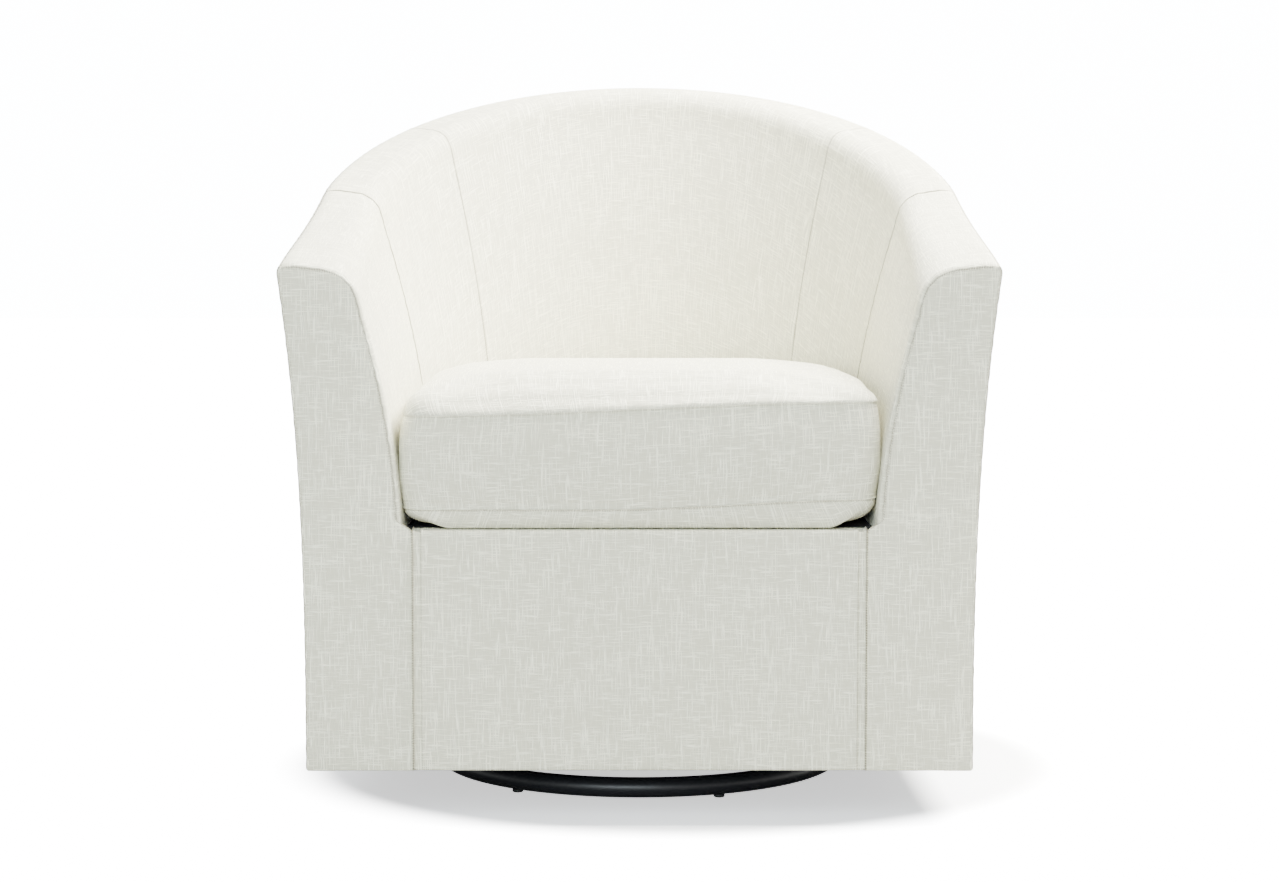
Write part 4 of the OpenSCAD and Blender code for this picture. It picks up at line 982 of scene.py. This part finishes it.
# The band is flattened behind the zip, whose tape lies on an arc about zip_middle
zip_middle = np.array([0.0, -0.1435582])
zip_r, zip_z, zip_turn = 0.30664, 0.3788, math.radians(25.9)
press_turn, press_turn_over = math.radians(28.4), math.radians(1.6)
press_h, press_h_over = 0.0105, 0.004
tape_clear = 0.0001
from_middle = rings[..., :2] - zip_middle
zip_way = np.linalg.norm(from_middle, axis=-1)
zip_angle = np.abs(np.arctan2(from_middle[..., 0], from_middle[..., 1]))
pressed_in = (eased((press_turn - zip_angle) / press_turn_over)
              * eased((press_h - np.abs(rings[..., 2] - zip_z)) / press_h_over))
less = 1 - pressed_in * (1 - np.minimum(1, (zip_r + tape_clear) / zip_way))
rings = np.concatenate([zip_middle + from_middle * less[..., None], rings[..., 2:]], -1)

# Seams of the cushion: a low ridge stands on each seam, with a dip below it and a shallow one over the edge
# of the allowance inside the band, and with small gathers at both sides. A line of painted shade lies in the
# dip below each ridge, in stitches, fainter at the upper seam. The weave runs flat over the top and the bottom
# panel, and round the band with its threads upright.
ridge_h, ridge_w = 0.0012, 0.0009
dip_d, dip_w, dip_below = 0.0009, 0.0010, 0.0021
allowance_d, allowance_w, allowance_in = 0.0004, 0.0008, 0.0068
cushion_gathers, gather_clear = (0.00035, 0.010, 0.015), 0.002
line_below, line_pace, low_faint, high_faint = 0.0017, 0.6, 0.0007, 0.00095
up = lengths(rings, 0)
round_way = np.concatenate([[0], np.cumsum(np.linalg.norm(np.roll(plan, -1, 0) - plan, axis=1))])
over_low, over_high = up - up[low_row], up - up[high_row]
by_low = np.abs(over_low) < np.abs(over_high)
above = np.where(by_low, over_low, over_high)
to_seam = np.abs(above)
allowance = np.where(by_low, above - allowance_in, above + allowance_in)
dip = (dip_d * np.exp(-((above + dip_below) / dip_w) ** 2) - ridge_h * np.exp(-(above / ridge_w) ** 2)
       + allowance_d * np.exp(-(allowance / allowance_w) ** 2))
gather = puckers(round_way[None, :-1], to_seam, *cushion_gathers)
lift = gather * (1 - np.exp(-(to_seam / gather_clear) ** 2)) - dip
closed = np.concatenate([rings[:, -1:], rings, rings[:, :1]], 1)
normal = -outward(closed)[:, 1:-1]
face_out = rings[:, :, :2] - cushion_middle
# The panels' weave is laid out flat: each point lies as far from the middle as the way over the cloth is long
aim = (plan - cushion_middle) / np.linalg.norm(plan - cushion_middle, axis=1)[:, None]
inner = np.linalg.norm(face_out, axis=-1)[[0, -1]]
flat_way = np.where(np.arange(len(share))[:, None] < high_row, inner[0] + up, inner[1] + up[-1] - up)
flat_uv = flat_way[..., None] * aim
rings = rings + lift[..., None] * normal
rows, cols = rings.shape[:2]
quads = grid_faces(rows, cols, False, True)
quad_row, quad_col = (index[:, None] for index in np.divmod(np.arange(len(quads)), cols))
band_uv = np.stack([round_way[quad_col + [0, 1, 1, 0]], over_low[quad_row + [0, 0, 1, 1], quad_col]], -1)
on_band = ((quad_row >= low_row) & (quad_row < high_row))[..., None]
quad_uv = np.where(on_band, band_uv, flat_uv.reshape(-1, 2)[quads])
points = np.concatenate([rings.reshape(-1, 3), rings[[0, -1]].mean(1)])
fans = fan_faces(rows, cols)
fan_uv = np.concatenate([flat_uv.reshape(-1, 2), np.zeros((2, 2))])[fans]
cushion = put_mesh("seat_cushion", points, [quads, fans], [quad_uv, fan_uv], cover, "cushion")
# Painted shade of the dip below each seam's ridge, in stitches.
mark_seams(cushion, np.abs(above + line_below), round_way[:-1] + 0 * to_seam,
           np.where(by_low, low_faint, high_faint), line_pace)
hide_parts("cushion_foam", "cushion_top", "cushion_boxing", "cushion_bottom")

# Zip: a woven tape with a coil of teeth, sewn into the band at the back, and a nickel slider with a pull tab.
# The tape lies on an arc, and the slider turns about the arc's centre.
tape_h, tape_low, tape_t = 0.012, 0.0004, 0.0008
tooth_pitch, tooth_w, tooth_h, tooth_d = 0.0017, 0.0010, 0.0046, 0.0005
tooth_end, tooth_bevel = 0.01, 0.7


def on_arc(turn, r, rise):
    """Points r from the arc's centre, turned from the middle of the back, and rise above the zip's line."""
    return np.stack([zip_middle[0] + np.sin(turn) * r, zip_middle[1] + np.cos(turn) * r,
                     zip_z + rise + 0 * turn], -1)


def zip_tape():
    """The tape is a thin bent strip, and each tooth a small bevelled bar across its middle, spaced by the
    pitch along the arc. Gives their points and faces."""
    a = np.linspace(-zip_turn, zip_turn, 90)
    edge = np.array([(tape_low, -1), (tape_low + tape_t, -1), (tape_low + tape_t, 1), (tape_low, 1)])
    strip = on_arc(a[:, None], zip_r + edge[:, 0], edge[:, 1] * tape_h / 2)
    ends = np.array([[3, 2, 1, 0], [0, 1, 2, 3]]) + [[0], [4 * len(a) - 4]]
    teeth = np.arange(-zip_turn + tooth_end, zip_turn - tooth_end, tooth_pitch / zip_r)
    corner = np.array([(u, v, w) for w, size in ((0, 1.0), (1, tooth_bevel)) for u, v in
                       ((-size, -size), (size, -size), (size, size), (-size, size))])
    bend = teeth[:, None] + corner[:, 0] * tooth_w / 2 / zip_r
    bars = on_arc(bend, zip_r + tape_low + tape_t + corner[:, 2] * tooth_d, corner[:, 1] * tooth_h / 2)
    bar = np.array([[0, 1, 2, 3], [7, 6, 5, 4], [4, 5, 1, 0], [5, 6, 2, 1], [6, 7, 3, 2], [7, 4, 0, 3]])
    first = 4 * len(a) + 8 * np.arange(len(teeth))[:, None, None]
    return (np.concatenate([strip.reshape(-1, 3), bars.reshape(-1, 3)]),
            np.concatenate([grid_faces(len(a), 4, False, True), (first + bar).reshape(-1, 4), ends]))


zip_cloth = grained("zip_tape_cloth", (0.52, 0.51, 0.47), (0.70, 0.69, 0.65), 0.0012, (0.6, 0.8), 0.0002,
                    stretch=(1, 1, 0.3))
tape_points, tape_faces = zip_tape()
tape = put_mesh("zip_tape_and_teeth", tape_points, [tape_faces], None, zip_cloth, "cushion")
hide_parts("zip_tape")
nickel = grained("nickel_plate", (0.50, 0.50, 0.51), (0.64, 0.64, 0.66), 0.002, (0.18, 0.3), 0.00002,
                 Metallic=1.0)
finish(nickel, "zip_slider")

# Floor, light and camera: a white floor and a white sky round it, a broad soft light high on the right, a
# weaker one from the front, and the camera about three metres in front of the chair, a little above its seat.
floor_half = 12.0
floor_seen, floor_bounce = (0.95, 0.95, 0.95), (0.30, 0.30, 0.30)
sky_seen, sky_light = 16.0, 0.76
camera_place, camera_down, camera_lens = (0, -3.351, 0.650), 4.8, 83.2


def white_floor():
    """A floor that looks white and throws back little light. It glows with painted light, seen by the camera
    only: weakly, by glow_near, under the chair, which lightens the chair's shadow there, and rising to the
    white of the sky from fade_near to fade_far of an oval under the chair, whose half widths are oval_x and
    oval_y. The oval lies a little to the right, so that the glow hides the shadow sooner on the left."""
    oval_x, oval_y, fade_near, fade_far, glow_near = 0.41, 0.38, 0.94, 1.16, 1.0
    mat = new_finish("white_floor", floor_seen, 0.9, Specular_IOR_Level=0.1, Emission_Color=(1, 1, 1, 1))
    seen = node(mat, "LightPath").outputs["Is Camera Ray"]
    shade_range(mat, seen, floor_bounce, floor_seen)
    place = node(mat, "TexCoord").outputs["Object"]
    oval = node(mat, "Mapping", Vector=place, Location=(-0.11, 0.0, 0), Scale=(1 / oval_x, 1 / oval_y, 1))
    far = node(mat, "VectorMath", operation="LENGTH", Vector=oval.outputs[0]).outputs["Value"]
    # Painted light: the floor's glow, low under the chair and as bright as the sky outside the oval.
    fade = node(mat, "MapRange", interpolation_type="SMOOTHSTEP", Value=far, From_Min=fade_near,
                From_Max=fade_far, To_Min=glow_near, To_Max=sky_seen)
    dress(mat, Emission_Strength=calc(mat, "MULTIPLY", fade.outputs[0], seen))
    return mat


floor_points = np.array([[x, y, 0.0] for x, y in ((-1, -1), (1, -1), (1, 1), (-1, 1))]) * floor_half
floor = bpy.data.meshes.new("floor")
floor.from_pydata(floor_points.tolist(), [], [[0, 1, 2, 3]])
floor.materials.append(white_floor())
floor_piece = bpy.data.objects.new("floor", floor)
bpy.context.scene.collection.objects.link(floor_piece)

world = bpy.data.worlds.new("white_sky")
world.use_nodes = True
seen = node(world, "LightPath").outputs["Is Camera Ray"]
sky = world.node_tree.nodes["Background"].inputs
feed(world, sky["Color"], (0.96, 0.99, 1.0, 1))
level = node(world, "MapRange", Value=seen, To_Min=sky_light, To_Max=sky_seen)
feed(world, sky["Strength"], level.outputs[0])
bpy.context.scene.world = world


def soft_light(name, place, aim, size, power, colour=(1.0, 1.0, 1.0)):
    """A square area light at place that looks at aim."""
    data = bpy.data.lights.new(name, "AREA")
    data.size = size
    data.energy = power
    data.color = colour
    lamp = bpy.data.objects.new(name, data)
    way = np.array(aim, float) - np.array(place, float)
    lamp.location = place
    lamp.rotation_euler = (math.atan2(math.hypot(way[0], way[1]), -way[2]), 0, math.atan2(-way[0], way[1]))
    bpy.context.scene.collection.objects.link(lamp)
    return lamp


soft_light("key", (1.15, 0.2, 2.55), (0, 0, 0.5), 1.6, 690, (1.0, 0.985, 0.945))
soft_light("front", (-0.6, -3.0, 1.4), (0, 0, 0.4), 2.0, 142, (0.82, 0.94, 1.0))

camera = bpy.data.objects.new("camera", bpy.data.cameras.new("camera"))
camera.data.lens = camera_lens
camera.data.sensor_width = 36.0
camera.location = camera_place
camera.rotation_euler = (math.radians(90 - camera_down), 0, 0)
bpy.context.scene.collection.objects.link(camera)
bpy.context.scene.camera = camera
